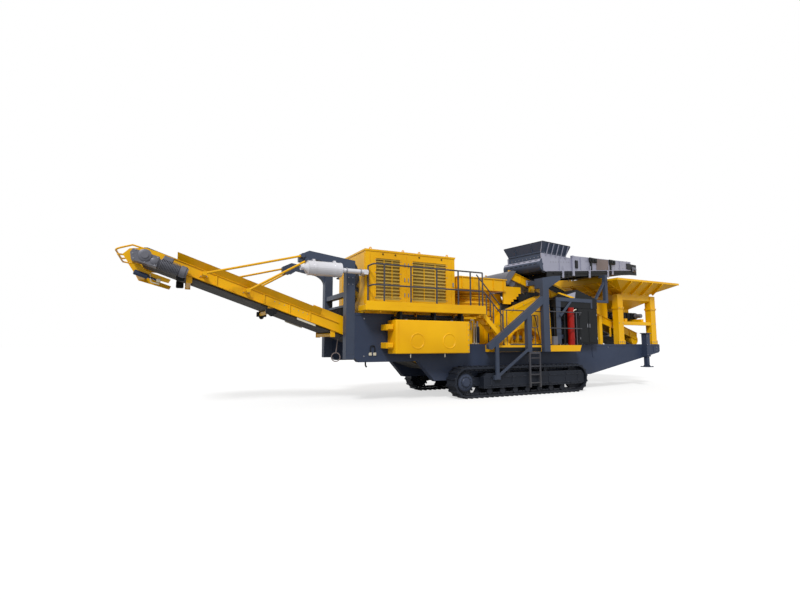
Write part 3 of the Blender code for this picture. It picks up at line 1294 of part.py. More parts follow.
def build_return():
    """Return conveyor that lies on the stand and throws into the feed hopper."""
    near = BOOT_FLARE
    far = near + RETURN_WIDTH
    skin = RETURN_SKIN

    def line(x):
        return (x, RETURN_AXLE_Z + RETURN_SLOPE * x)

    plate_left = RETURN_TAIL + 0.07
    plate_slope = (PLATE_LOW[1] - PLATE_LOW[0]) / (PLATE_END - plate_left)
    step_x = BOOT_LENGTH + 0.17
    tail = line(RETURN_TAIL)
    head = line(RETURN_LENGTH)
    outline = [
        (plate_left, PLATE_LOW[0]), (PLATE_END, PLATE_LOW[1]), (PLATE_END, PLATE_HIGH[1]), (step_x, PLATE_HIGH[0]),
        (step_x, BOOT_SEAT_Z), (near - 0.05, BOOT_SEAT_Z), (near - 0.03, tail[1] + 0.18),
        (near + 0.05, PLATE_LOW[0] + 0.04)]
    bed = [line(RETURN_TAIL + 0.23), line(RETURN_LENGTH - 0.24)]
    bed_top = RETURN_DRUM - SEAT
    shapes = [
        plate(outline, (far - skin, far)),
        plate(offset_line(bed, bed_top - skin) + offset_line(reversed(bed), bed_top),
              (near + skin / 2, far - skin / 2)),
        cylinder(RETURN_DRUM, (tail[0], near + 0.01, tail[1]), (tail[0], far - 0.01, tail[1]), 24),
        box((near + 0.001, near + 0.02), (near + skin / 2, far - skin / 2), (STRIP_LOW, END_WALL_Z - SEAT))]
    node("return_frame", combine(plate(outline, (near, near + skin)), shapes), PLATE_GREY, return_line)

    belt_y = (near + skin + 0.03, far - skin - 0.03)
    belt = plate(belt_loop([tail, head], RETURN_DRUM + SEAT + BELT_THICK), belt_y,
                 holes=[belt_loop([tail, head], RETURN_DRUM + SEAT)])
    node("return_belt", belt, BELT, return_line)
    inside = (near + skin + SEAT, far - skin - SEAT)
    drum = cylinder(RETURN_DRUM, (head[0], inside[0], head[1]), (head[0], inside[1], head[1]), 24)
    node("return_head_drum", drum, NEAR_BLACK, return_line)

    def under(x):
        return UNDER_Z + UNDER_SLOPE * x

    seat_z = PLATE_LOW[0] - SEAT + plate_slope * (UNDER_LEFT - plate_left)
    beam = [
        (UNDER_LEFT, under(UNDER_LEFT)), (PLATE_END, under(PLATE_END)), (HEAD_PLATE_END, HEAD_PLATE[0]),
        (HEAD_PLATE_END, HEAD_PLATE[1]), (PLATE_END + SEAT, HEAD_PLATE[1]), (PLATE_END + SEAT, PLATE_LOW[1] - SEAT),
        (UNDER_LEFT, seat_z)]
    ring = RETURN_DRUM + BELT_THICK + 0.010
    ring_outer = ring + 0.018
    lip_x = UNDER_BEAMS[0] + 0.03
    lip_z = line(lip_x)[1] - ring
    guard = [*arc(tail, (ring_outer, ring_outer), 100, 270, 9), (lip_x, lip_z - 0.018), (lip_x, lip_z),
             *arc(tail, (ring, ring), 270, 100, 9)]
    shapes = [plate(beam, (far - skin, far)), plate(guard, inside)]
    for x in UNDER_BEAMS:
        top = lip_z - 0.005 if x == UNDER_BEAMS[0] else under(x) + 0.07
        shapes.append(box((x - 0.05, x + 0.05), (near + skin / 2, far - skin / 2), (under(x) + 0.01, top)))
    node("return_underframe", combine(plate(beam, (near, near + skin)), shapes), NEAR_BLACK, return_line)
    build_boot(near, far)


def build_boot(near, far):
    """Receiving boot on the tail of the return conveyor, with ribs and the wall below its left side."""
    right = BOOT_LENGTH - BOOT_FLARE
    foot = BOOT_SEAT_Z + SEAT
    base = ((near, right), (near, far))
    rim = ((0, BOOT_LENGTH), (0, far + BOOT_FLARE))
    shell = hopper_shell(base, rim, (foot, foot + BOOT_BAND, BOOT_RIM_Z), (0, 0.04), BOOT_WALL)
    inner_y = (near + RETURN_SKIN + SEAT, far - RETURN_SKIN - SEAT)
    shapes = [box((near, near + BOOT_WALL), inner_y, (END_WALL_Z, foot + 0.02))]
    low = foot + BOOT_BAND
    high = BOOT_RIM_Z - 0.04
    lean = -BOOT_FLARE / (high - low)
    for i in range(BOOT_RIBS):
        x = near + (right - near) * (i + 0.7) / BOOT_RIBS
        shapes.append(leaning_box((x - 0.01, x + 0.01), (near - 0.04, near + 0.005), (low, high), lean_y=lean))
    node("return_boot", combine(to_mesh(shell), shapes), NEAR_BLACK, return_line)


def build_return_post():
    """Post under the far half of the return conveyor, held by a beam on the hood."""
    size = RETURN_POST_SIZE
    face = RETURN_POST_Y
    left, right = RETURN_POST_X - size / 2, RETURN_POST_X + size / 2
    left_y, left_z = return_edge(left)
    right_z = return_edge(right)[1]
    beam = box((CABINET_RIGHT + SEAT, right), (face, face + size), (HOOD_RIGHT_Z - 0.08, HOOD_RIGHT_Z))
    post = box((left, right), (face + 0.002, face + size - 0.002), (HOOD_RIGHT_Z - 0.04, left_z - 0.04))
    arm = plate(
        [(left, left_z - 0.08), (right, left_z - 0.08), (right, right_z - SEAT), (left, left_z - SEAT)],
        (face + 0.001, left_y + 0.04))
    brace = plate(
        [(CABINET_RIGHT + 0.06, HOOD_RIGHT_Z - 0.02), (CABINET_RIGHT + 0.14, HOOD_RIGHT_Z - 0.02),
         (left + 0.02, left_z - 0.30), (left + 0.02, left_z - 0.20)],
        (face + 0.02, face + size - 0.02))
    node("return_post", combine(beam, [post, arm, brace]), NEAR_BLACK)


build_return()
build_return_post()
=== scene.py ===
# Tracked mobile cone crushing plant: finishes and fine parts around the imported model.
import json
from functools import partial
from math import atan2, cos, pi, radians, sin

import bpy
import bmesh
from mathutils import Matrix, Vector


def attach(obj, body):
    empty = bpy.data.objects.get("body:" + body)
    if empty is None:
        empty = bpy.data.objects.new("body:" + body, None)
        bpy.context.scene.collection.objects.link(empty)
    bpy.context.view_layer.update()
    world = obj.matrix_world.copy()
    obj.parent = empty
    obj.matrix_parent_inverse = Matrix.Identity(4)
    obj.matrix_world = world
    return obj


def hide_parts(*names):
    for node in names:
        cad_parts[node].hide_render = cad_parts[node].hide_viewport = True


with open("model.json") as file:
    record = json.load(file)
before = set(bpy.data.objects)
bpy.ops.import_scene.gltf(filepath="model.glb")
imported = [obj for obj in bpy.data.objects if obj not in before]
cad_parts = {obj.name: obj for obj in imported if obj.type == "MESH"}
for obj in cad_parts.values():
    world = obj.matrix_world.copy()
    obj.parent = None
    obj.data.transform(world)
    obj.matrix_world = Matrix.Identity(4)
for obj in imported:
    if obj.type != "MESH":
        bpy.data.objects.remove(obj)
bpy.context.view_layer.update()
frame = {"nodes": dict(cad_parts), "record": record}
nodes = frame["nodes"]
print("frame loaded:", len(nodes), "solids")

datum = 1.26  # X of the zero that every length below is measured from

camera = {
    "place": (-7.7035, -11.33, 1.46),
    "heading": (0.4514, 0.8923),   # where it looks, in plan
    "pitchUp": 5.70,               # degrees
    "focalPixels": 442.5,
    "pictureWidth": 800,
    "sensor": 36.0,
}


def placeCamera():
    data = bpy.data.cameras.new("photoCamera")
    data.sensor_fit = "HORIZONTAL"
    data.sensor_width = camera["sensor"]
    data.lens = camera["sensor"] * camera["focalPixels"] / camera["pictureWidth"]
    data.clip_end = 300
    holder = bpy.data.objects.new("photoCamera", data)
    turn = atan2(camera["heading"][0], camera["heading"][1])
    holder.location = camera["place"]
    holder.rotation_euler = (radians(90 + camera["pitchUp"]), 0, -turn)
    bpy.context.scene.collection.objects.link(holder)
    bpy.context.scene.camera = holder


placeCamera()


# Finishes

def srgb(code):
    parts = [int(code[i:i + 2], 16) / 255 for i in (1, 3, 5)]
    return tuple(c / 12.92 if c <= 0.04045 else ((c + 0.055) / 1.055) ** 2.4 for c in parts) + (1,)


def perMetre(millimetres):
    return 1000 / millimetres  # pattern scale that repeats at this size


# One call adds a node: a name of the node's own is set on it, any other is a socket; links go in last.
def addNode(tree, kind, settings=None, links=None):
    made = tree.nodes.new("ShaderNode" + kind)
    for name, value in (settings or {}).items():
        if name == "stops":
            ramp = made.color_ramp.elements
            for stop, (place, level) in zip(ramp, value):
                stop.position = place
                stop.color = (level, level, level, 1)
        elif isinstance(name, str) and hasattr(made, name):
            setattr(made, name, value)
        else:
            made.inputs[name].default_value = value
    for name, source in (links or {}).items():
        tree.links.new(source, made.inputs[name])
    return made


# What an enamel has unless its own line says otherwise: peel in millimetres, peelDepth and dustTop in metres
commonLook = dict(roughness=0.42, peel=12, peelDepth=0.0006, dusty=0.16, dustTop=0.8, wear=0.4, metal=0.0,
                  gloss=0.22)

finishes = {
    # sprayed two-pack enamel on plate: deep golden gloss, faint orange peel, dust on ledges, bare edges
    "machineYellow": dict(colour="#EFB502", shade="#DCA001", dust="#B79B5A", chip="#6B5A3A",
                          roughness=0.36, peel=14, dusty=0.24, wear=0.5, gloss=0.24),
    # semi-gloss chassis enamel: dark slate that shows pale dust near the ground
    "chassisEnamel": dict(colour="#353F55", shade="#2A3346", dust="#6E6A62", chip="#5E6470", peel=14,
                          dustTop=0.9),
    # the same enamel on the upper structure, a little greyer and cleaner
    "structureEnamel": dict(colour="#414A5C", shade="#363E4F", dust="#77726A", chip="#5E6470", peel=14,
                            dusty=0.14),
    # powder-coated tube: even and slightly rough, rubbed by hands
    "railCoat": dict(colour="#4A4A50", shade="#3E3E44", dust="#837B6D", chip="#7A7A7E",
                     roughness=0.5, peel=9, peelDepth=0.0004, dusty=0.15, wear=0.5, gloss=0.25),
    # black satin enamel on the cabinet and small fittings: nearly neutral, dusty on top; also the painted
    # shade on the sheet at the back of the hood's frame
    "blackEnamel": dict(colour="#1E2023", shade="#17191B", dust="#66625A", chip="#45484C",
                        roughness=0.45, dusty=0.12, dustTop=0.7, wear=0.35, gloss=0.16),
    # enamel on grille slats: olive gold in the light, dust between the slats
    "grilleEnamel": dict(colour="#BF9E4A", shade="#9E8236", dust="#A08F62", chip="#5A4C28",
                         roughness=0.55, peel=10, dusty=0.30, dustTop=0.5, wear=0.3, gloss=0.2),
    # red gloss enamel on a pressure vessel
    "vesselRed": dict(colour="#9C170D", shade="#7E100A", dust="#8A645C", chip="#5A4A48",
                      roughness=0.30, peelDepth=0.0005, dusty=0.1, wear=0.3, gloss=0.25),
    # machine grey on cast gear cases: coarse skin from the sand mould under thin paint
    "gearGrey": dict(colour="#72737C", shade="#5C5D66", dust="#857D70", chip="#46464A",
                     peel=22, peelDepth=0.0015, dusty=0.2, wear=0.5, metal=0.2, gloss=0.3),
    # hot-dip zinc on plate: pale, with soft flakes of zinc that catch the light unevenly; also the painted
    # highlights along the boot's corner and rib edges
    "zincPlate": dict(colour="#A3A4B4", shade="#85869A", dust="#8E867A", chip="#62626A",
                      peel=30, peelDepth=0.0005, dustTop=0.7, wear=0.3, metal=0.3, gloss=0.4),
    # aluminised steel: bright, brushed by rolling, straw and grey where heat has been
    "aluminised": dict(colour="#DCDCE2", shade="#C2C0C4", dust="#A59B8C", chip="#85807A", roughness=0.30,
                       peel=18, peelDepth=0.0004, dusty=0.10, dustTop=0.7, wear=0.2, metal=0.4, gloss=0.5),
    # cast manganese steel of the crawler: dark blue scale, dry soil in the hollows, polished edges
    "trackSteel": dict(colour="#262B36", shade="#1B1F28", dust="#5C564C", chip="#7C7E86", roughness=0.50,
                       peel=16, peelDepth=0.0016, dusty=0.12, dustTop=0.35, wear=0.7, metal=0.2, gloss=0.25),
    # red oxide primer worn to the plate: brown grey and dull
    "wornPrimer": dict(colour="#8C7F7C", shade="#6E625F", dust="#857A6C", chip="#9A9A9E", roughness=0.6,
                       peel=16, peelDepth=0.0005, dusty=0.2, dustTop=0.7, wear=0.5, metal=0.1, gloss=0.2),
    # zinc-plated bolts and pins: small bright heads
    "boltZinc": dict(colour="#9C9DA4", shade="#7E7F87", dust="#8C8476", chip="#6A6A6E", roughness=0.38,
                     peel=8, peelDepth=0.0003, dusty=0.2, dustTop=0.7, wear=0.3, metal=0.7, gloss=0.4),
    # moulded black rubber of hoses, seals and curtains: matt and a little grey
    "mouldedRubber": dict(colour="#202124", shade="#18191B", dust="#55514A", chip="#303133",
                          roughness=0.75, dusty=0.15, wear=0.1, gloss=0.2),
    # ivory enamel on pipes and boxes: warm white, easily soiled
    "ivoryEnamel": dict(colour="#CFCAB8", shade="#B7B09C", dust="#9A9078", chip="#6C6658",
                        peelDepth=0.0005, dusty=0.25, wear=0.3, gloss=0.3),
}


def enamel(name, look):
    look = {**commonLook, **look}
    made = bpy.data.materials.new(name)
    made.use_nodes = True
    add = partial(addNode, made.node_tree)
    shader = made.node_tree.nodes["Principled BSDF"]
    place = add("TexCoord").outputs["Object"]
    normal = add("NewGeometry").outputs["Normal"]
    broad = add("TexNoise", {"Scale": perMetre(1400), "Detail": 4.0}, {"Vector": place}).outputs["Fac"]
    tone = add("ValToRGB", {"stops": ((0.35, 0), (0.72, 1))}, {"Fac": broad}).outputs["Color"]
    paint = add("Mix", {"data_type": "RGBA", 6: srgb(look["colour"]), 7: srgb(look["shade"])},
                {0: tone}).outputs[2]
    # dust: on ledges, and low down where the tracks throw it
    facing = add("SeparateXYZ", None, {"Vector": normal}).outputs["Z"]
    ledge = add("MapRange", {"From Min": 0.55, "From Max": 1.0, "To Max": look["dusty"] * 1.5},
                {"Value": facing})
    height = add("SeparateXYZ", None, {"Vector": place}).outputs["Z"]
    splash = add("MapRange", {"From Min": look["dustTop"], "From Max": 0.0, "To Max": look["dusty"] * 1.6},
                 {"Value": height})
    settle = add("Math", {"operation": "MAXIMUM"}, {0: ledge.outputs["Result"], 1: splash.outputs["Result"]})
    drift = add("TexNoise", {"Scale": perMetre(160), "Detail": 6.0, "Roughness": 0.65}, {"Vector": place})
    patches = add("MapRange", {"From Min": 0.30, "From Max": 0.72, "To Min": 0.12},
                  {"Value": drift.outputs["Fac"]})
    soil = add("Math", {"operation": "MULTIPLY", "use_clamp": True},
               {0: settle.outputs["Value"], 1: patches.outputs["Result"]}).outputs["Value"]
    soiled = add("Mix", {"data_type": "RGBA", 7: srgb(look["dust"])}, {0: soil, 6: paint}).outputs[2]
    # wear: a rounded normal differs from the true one along an edge
    rounded = add("Bevel", {"samples": 4, "Radius": 0.012}).outputs["Normal"]
    same = add("VectorMath", {"operation": "DOT_PRODUCT"}, {0: rounded, 1: normal}).outputs["Value"]
    edge = add("MapRange", {"From Min": 0.985, "From Max": 0.88, "To Max": look["wear"]}, {"Value": same})
    grit = add("TexNoise", {"Scale": perMetre(45), "Detail": 5.0, "Roughness": 0.7}, {"Vector": place})
    flakes = add("MapRange", {"From Min": 0.50, "From Max": 0.66}, {"Value": grit.outputs["Fac"]})
    chips = add("Math", {"operation": "MULTIPLY", "use_clamp": True},
                {0: edge.outputs["Result"], 1: flakes.outputs["Result"]}).outputs["Value"]
    worn = add("Mix", {"data_type": "RGBA", 7: srgb(look["chip"])}, {0: chips, 6: soiled}).outputs[2]
    dull = add("MapRange", {"To Min": look["roughness"], "To Max": 0.85}, {"Value": soil}).outputs["Result"]
    # orange peel or casting skin, drawn a few times coarser than real so that it shows
    skin = add("TexNoise", {"Scale": perMetre(look["peel"]), "Detail": 2.0}, {"Vector": place}).outputs["Fac"]
    bump = add("Bump", {"Distance": look["peelDepth"], "Strength": 0.6}, {"Height": skin}).outputs["Normal"]
    for socket, source in (("Base Color", worn), ("Roughness", dull), ("Normal", bump)):
        made.node_tree.links.new(source, shader.inputs[socket])
    shader.inputs["Metallic"].default_value = look["metal"]
    shader.inputs["Specular IOR Level"].default_value = look["gloss"]
    return made


beltLook = dict(rubber="#3F3E3D", scuff="#56534F", stone="#7C766A", stripe=55, weave=9)


# Conveyor belting: black rubber cover greyed by stone, scuffed in stripes along its run.
def belting(name, look):
    made = bpy.data.materials.new(name)
    made.use_nodes = True
    add = partial(addNode, made.node_tree)
    shader = made.node_tree.nodes["Principled BSDF"]
    place = add("TexCoord").outputs["Object"]
    along = add("Mapping", {"Scale": (0.06, 1.0, 0.06)}, {"Vector": place}).outputs["Vector"]
    stripes = add("TexNoise", {"Scale": perMetre(look["stripe"]), "Detail": 5.0},
                  {"Vector": along}).outputs["Fac"]
    scuffed = add("MapRange", {"From Min": 0.42, "From Max": 0.66}, {"Value": stripes}).outputs["Result"]
    base = add("Mix", {"data_type": "RGBA", 6: srgb(look["rubber"]), 7: srgb(look["scuff"])}, {0: scuffed})
    patches = add("TexNoise", {"Scale": perMetre(420), "Detail": 6.0}, {"Vector": place}).outputs["Fac"]
    powder = add("MapRange", {"From Min": 0.5, "From Max": 0.8, "To Max": 0.45}, {"Value": patches})
    dusted = add("Mix", {"data_type": "RGBA", 7: srgb(look["stone"])},
                 {0: powder.outputs["Result"], 6: base.outputs[2]}).outputs[2]
    grain = add("TexNoise", {"Scale": perMetre(look["weave"]), "Detail": 3.0},
                {"Vector": place}).outputs["Fac"]
    bump = add("Bump", {"Distance": 0.001, "Strength": 0.7}, {"Height": grain}).outputs["Normal"]
    made.node_tree.links.new(dusted, shader.inputs["Base Color"])
    made.node_tree.links.new(bump, shader.inputs["Normal"])
    shader.inputs["Roughness"].default_value = 0.82
    shader.inputs["Specular IOR Level"].default_value = 0.35
    return made


paints = {name: enamel(name, look) for name, look in finishes.items()}
paints["conveyorBelting"] = belting("conveyorBelting", beltLook)

slotPaint = {
    "machine_yellow": "machineYellow", "chassis_blue_grey": "chassisEnamel",
    "structure_dark_grey": "structureEnamel",
    "rail_grey": "railCoat", "track_steel": "trackSteel", "belt_rubber": "conveyorBelting",
    "louvre_olive": "grilleEnamel", "gearbox_grey": "gearGrey", "muffler_silver": "aluminised",
    "cabinet_black": "blackEnamel", "cylinder_red": "vesselRed", "side_plate_grey": "zincPlate",
}
bluish = ("return_boot", "return_stand", "return_post")  # lighter than the cabinet's black

for part in frame["record"]["subparts"]:
    solid = nodes[part["node"]]
    if not solid.material_slots:
        solid.data.materials.append(None)
    paint = "structureEnamel" if part["node"] in bluish else slotPaint[part["material_slot"]]
    for place in solid.material_slots:
        place.material = paints[paint]
print("finishes on the solids")


# Shapes: each call returns a bmesh. Ranges along X, Y and Z may be given either way round.

def block(xs, ys, zs, bevel=0.0, segments=1):
    low, high = zip(*(sorted(ends) for ends in (xs, ys, zs)))
    bm = bmesh.new()
    bmesh.ops.create_cube(bm, size=1)
    bmesh.ops.scale(bm, vec=[b - a for a, b in zip(low, high)], verts=bm.verts)
    bmesh.ops.translate(bm, vec=[(a + b) / 2 for a, b in zip(low, high)], verts=bm.verts)
    if bevel:
        bevelEdges(bm, bm.edges[:], bevel, segments)
    return bm


def bevelEdges(bm, edges, offset, segments=1):
    bmesh.ops.bevel(bm, geom=edges, offset=offset, segments=segments, affect="EDGES", profile=0.5,
                    material=-1)


def rod(start, end, radius, sides=12, endRadius=None, bevel=0.0):
    start, end = Vector(start), Vector(end)
    bm = bmesh.new()
    bmesh.ops.create_cone(bm, cap_ends=True, segments=sides, radius1=radius,
                          radius2=radius if endRadius is None else endRadius, depth=(end - start).length)
    if bevel:
        bevelEdges(bm, [e for e in bm.edges if abs(e.verts[0].co.z - e.verts[1].co.z) < 1e-6], bevel)
    return moved(bm, Matrix.Translation((start + end) / 2) @ turnTo(end - start))


def turnTo(direction):
    return Vector(direction).to_track_quat("Z", "Y").to_matrix().to_4x4()


# A plate: an outline in X and Z between two Y planes.
def plateShape(outline, ys, bevel=0.0):
    near, far = sorted(ys)
    bm = bmesh.new()
    face = bm.faces.new([bm.verts.new((x, near, z)) for x, z in outline])
    grown = bmesh.ops.extrude_face_region(bm, geom=[face])["geom"]
    bmesh.ops.translate(bm, vec=(0, far - near, 0),
                        verts=[v for v in grown if isinstance(v, bmesh.types.BMVert)])
    bmesh.ops.recalc_face_normals(bm, faces=bm.faces)
    if bevel:
        bevelEdges(bm, bm.edges[:], bevel)
    return bm


# A plate that follows a sloping line between two X, from one height over the line to another.
def strip(line, xs, lifts, ys, bevel=0.0):
    (a, b), (low, high) = xs, lifts
    return plateShape([(a, line(a) + low), (b, line(b) + low), (b, line(b) + high), (a, line(a) + high)], ys,
                      bevel)


# Points on an arc in X and Z, at angles in degrees.
def arcEdge(x, z, radius, angles):
    return [(x + radius * cos(radians(a)), z + radius * sin(radians(a))) for a in angles]


# A turned part: radius and height pairs spun about an axis through a point.
def turnedShape(profile, centre, axis=(0, 0, 1), steps=24):
    bm = bmesh.new()
    line = [bm.verts.new((radius, 0, height)) for radius, height in profile]
    edges = [bm.edges.new(pair) for pair in zip(line, line[1:])]
    bmesh.ops.spin(bm, geom=line + edges, cent=(0, 0, 0), axis=(0, 0, 1), angle=2 * pi, steps=steps,
                   use_merge=True)
    bmesh.ops.remove_doubles(bm, verts=bm.verts, dist=0.00001)
    bmesh.ops.recalc_face_normals(bm, faces=bm.faces)
    return moved(bm, Matrix.Translation(centre) @ turnTo(axis))


def ringShape(inner, outer, half, centre, axis=(0, 0, 1), steps=24):
    profile = [(inner, -half), (outer, -half), (outer, half), (inner, half), (inner, -half)]
    return turnedShape(profile, centre, axis, steps)


# A pipe along points, with its corners rounded by short bends.
def pipeShape(points, radius, bend=0.06, sides=8):
    route = [Vector(p) for p in points]
    smooth = [route[0]]
    for before, corner, after in zip(route, route[1:], route[2:]):
        reach = min(bend, (corner - before).length / 2.1, (after - corner).length / 2.1)
        first = corner + (before - corner).normalized() * reach
        last = corner + (after - corner).normalized() * reach
        smooth += [first.lerp(corner, t).lerp(corner.lerp(last, t), t) for t in (0, 0.25, 0.5, 0.75, 1)]
    smooth.append(route[-1])
    bm = bmesh.new()
    bmesh.ops.create_circle(bm, cap_ends=True, segments=sides, radius=radius)
    heading = (smooth[1] - smooth[0]).normalized()
    moved(bm, Matrix.Translation(smooth[0]) @ turnTo(heading))
    face = bm.faces[:][0]
    for place, after in zip(smooth[1:], smooth[2:] + [None]):
        grown = bmesh.ops.extrude_face_region(bm, geom=[face])["geom"]
        verts = [v for v in grown if isinstance(v, bmesh.types.BMVert)]
        face = next(f for f in grown if isinstance(f, bmesh.types.BMFace))
        old = sum((v.co for v in verts), Vector()) / len(verts)
        leaving = (place - old).normalized()
        halfway = leaving if after is None else (leaving + (after - place).normalized()).normalized()
        spin = heading.rotation_difference(halfway).to_matrix().to_4x4()
        bmesh.ops.transform(bm, matrix=Matrix.Translation(place) @ spin @ Matrix.Translation(-old),
                            verts=verts)
        heading = halfway
    bmesh.ops.recalc_face_normals(bm, faces=bm.faces)
    return bm


# Hexagon bolt with its washer, standing on a face.
def bolt(place, radius=0.016, outward=(0, -1, 0)):
    place, outward = Vector(place), Vector(outward).normalized()
    head = rod(place, place + outward * radius * 0.95, radius, 6)
    return join([head, rod(place, place + outward * radius * 0.25, radius * 1.35, 10)])


def join(shapes):
    whole = bmesh.new()
    for shape in shapes:
        mesh = bpy.data.meshes.new("shape")
        shape.to_mesh(mesh)
        shape.free()
        whole.from_mesh(mesh)
        bpy.data.meshes.remove(mesh)
    return whole


def moved(shape, matrix):
    bmesh.ops.transform(shape, matrix=matrix, verts=shape.verts)
    return shape


pieceNames = []


def finishPiece(name, shapes, paint, body="machine", matrix=Matrix()):
    bm = moved(join(shapes), Matrix.Translation((datum, 0, 0)) @ matrix)
    mesh = bpy.data.meshes.new(name)
    bm.to_mesh(mesh)
    bm.free()
    mesh.materials.append(paints[paint])
    mesh.shade_smooth()
    mesh.set_sharp_from_angle(angle=radians(35))
    piece = bpy.data.objects.new(name, mesh)
    bpy.context.scene.collection.objects.link(piece)
    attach(piece, body)
    pieceNames.append(name)
    return piece


# Two pieces: the shapes lie on the near side, below the plane Y = middle, and are mirrored to the far side.
def finishPair(name, shapes, paint, body="machine", matrix=Matrix(), middle=0.0):
    near = join(shapes)
    far = moved(near.copy(), Matrix.Translation((0, 2 * middle, 0)) @ Matrix.Diagonal((1, -1, 1, 1)))
    bmesh.ops.reverse_faces(far, faces=far.faces)
    return [finishPiece(f"{name}_{label}", [shape], paint, body.format(label), matrix)
            for label, shape in (("near", near), ("far", far))]


def spread(low, high, count):
    return [low + (high - low) * i / (count - 1) for i in range(count)]


def around(x, half):
    return (x - half, x + half)


def turns(count, start=0.0):
    return [2 * pi * (i + start) / count for i in range(count)]


# Faces that many pieces share: Y on the near side, in metres
up = (0, 0, 1)
nearFace = -1.0  # outer face of the chassis, the power house and the guard
deckFace = -1.37
widest = -1.50

crawler = {
    "left": -1.92, "right": 2.22, "axle": 0.43, "middle": -1.23, "frameHalf": 0.17, "frame": (0.28, 0.63),
    "linkInside": 0.345, "links": 27, "hubs": ((-1.92, 0.235, 0.16, 12), (2.22, 0.16, 0.11, 8)),
}


def buildCrawlers():
    c = crawler
    left, axle, middle = c["left"], c["axle"], c["middle"]
    outer = middle - c["frameHalf"]
    skin = (outer, outer - 0.012)
    # raised cover strips and ribs on the frame's outer face
    shapes = [block(around(x, 0.02), skin, c["frame"], 0.004) for x in (-1.10, -0.35, 0.35, 1.05, 1.75, 2.28)]
    shapes += [block((-1.30, right), skin, (z, z + 0.03), 0.003) for right, z in ((2.40, 0.53), (2.38, 0.30))]
    finishPair("track_frame_ribs", shapes, "trackSteel")
    # hub covers of the sprocket and the idler
    finishPair("wheel_hubs", [turnedShape(
        [(0, 0.10), (r * 0.45, 0.10), (r * 0.55, 0.075), (r * 0.8, 0.07), (r, 0.04), (r, 0)],
        (x, middle - 0.045, axle), (0, -1, 0), 28) for x, r, ring, count in c["hubs"]], "chassisEnamel")
    shapes = [bolt((x + ring * cos(a), middle - 0.112, axle + ring * sin(a)), 0.014)
              for x, r, ring, count in c["hubs"] for a in turns(count)]
    shapes += [bolt((x, outer, 0.28), 0.020) for x in spread(-1.08, 1.95, 7)]
    finishPair("track_bolts", shapes, "trackSteel")
    # rock guard behind the rollers
    finishPair("rock_guard", [plateShape([(-1.50, 0.11), (2.02, 0.11), (2.02, 0.32), (-1.36, 0.32)],
                                         (-1.062, -1.078))], "trackSteel")
    # travel motor inside the sprocket
    finishPair("travel_motor", [
        rod((left, middle + 0.12, axle), (left, middle + 0.34, axle), 0.13, 20, bevel=0.01),
        rod((left, middle + 0.34, axle), (left, middle + 0.44, axle), 0.09, 16, bevel=0.01)], "blackEnamel")
    # link plates inside the shoes, seen between the rollers
    pitch = (c["right"] - left) / c["links"]
    levels = (axle - c["linkInside"] + 0.001, axle + c["linkInside"] - 0.046)
    starts = [left + pitch * i for i in range(c["links"])]
    finishPair("chain_links", [
        block((x + 0.012, x + pitch - 0.012), around(middle + row, 0.016), (level, level + 0.045))
        for row in (0.075, -0.075) for level in levels for x in starts], "trackSteel")
    finishPiece("track_cross_beams", [block(xs, (-1.08, 1.08), (0.30, 0.485), 0.012)
                                      for xs in ((-1.25, -0.80), (1.50, 1.95))], "trackSteel")


buildCrawlers()
print("crawlers done")

chassis = {
    "skin": (nearFace, nearFace - 0.012), "eye": (6.93, -0.89, 1.52),
    "coverBolts": ((-4.75, 1.16), (-4.75, 2.10), (-2.0, 1.60), (4.2, 1.36), (1.0, 1.36)),
    "noseBolts": ((6.80, 1.35), (6.80, 1.24)),
}


def buildChassisParts():
    skin = chassis["skin"]
    finishPair("chassis_doublers", [
        block((-4.98, -4.14), skin, (2.18, 2.235), 0.003),  # flange under the power house
        block((-1.84, -1.74), skin, (1.50, 2.20), 0.003),   # doubler where the shelf steps down
        block((2.60, 5.85), skin, (1.40, 1.452), 0.003),    # top flange of the nose
        block((6.32, 6.98), skin, (1.40, 1.452), 0.003),
        plateShape([(3.42, 1.04), (3.50, 1.04), (3.50, 1.38), (3.42, 1.38)], skin),
        plateShape([(6.62, 1.18), (6.95, 1.22), (6.95, 1.38), (6.62, 1.38)], skin)], "chassisEnamel")
    shapes = [bolt((x, skin[0], z), 0.014) for x, z in chassis["coverBolts"]]
    shapes += [bolt((x, skin[1], z), 0.014) for x, z in chassis["noseBolts"]]
    shapes += [bolt((x, skin[0], 1.56)) for x in (-1.66, -1.60)]
    finishPair("chassis_bolts", shapes, "boltZinc")
    finishPair("tow_eye", [ringShape(0.028, 0.065, 0.02, chassis["eye"], (0, 1, 0), 20),
                           block((6.86, 6.99), around(-0.89, 0.02), (1.4605, 1.485))], "chassisEnamel")


buildChassisParts()

discharge = {
    "head": (-9.60, 3.3675), "knee": -2.55, "low": 0.90, "slope": 0.35, "face": -0.66,
    "clevises": (-8.46, -7.55),
    "stiffeners": (-8.20, -7.15, -6.55, -6.05), "tail": -5.12, "caseFace": -0.9503,
}


def beltLine(x):
    return discharge["low"] + discharge["slope"] * (discharge["knee"] - x)


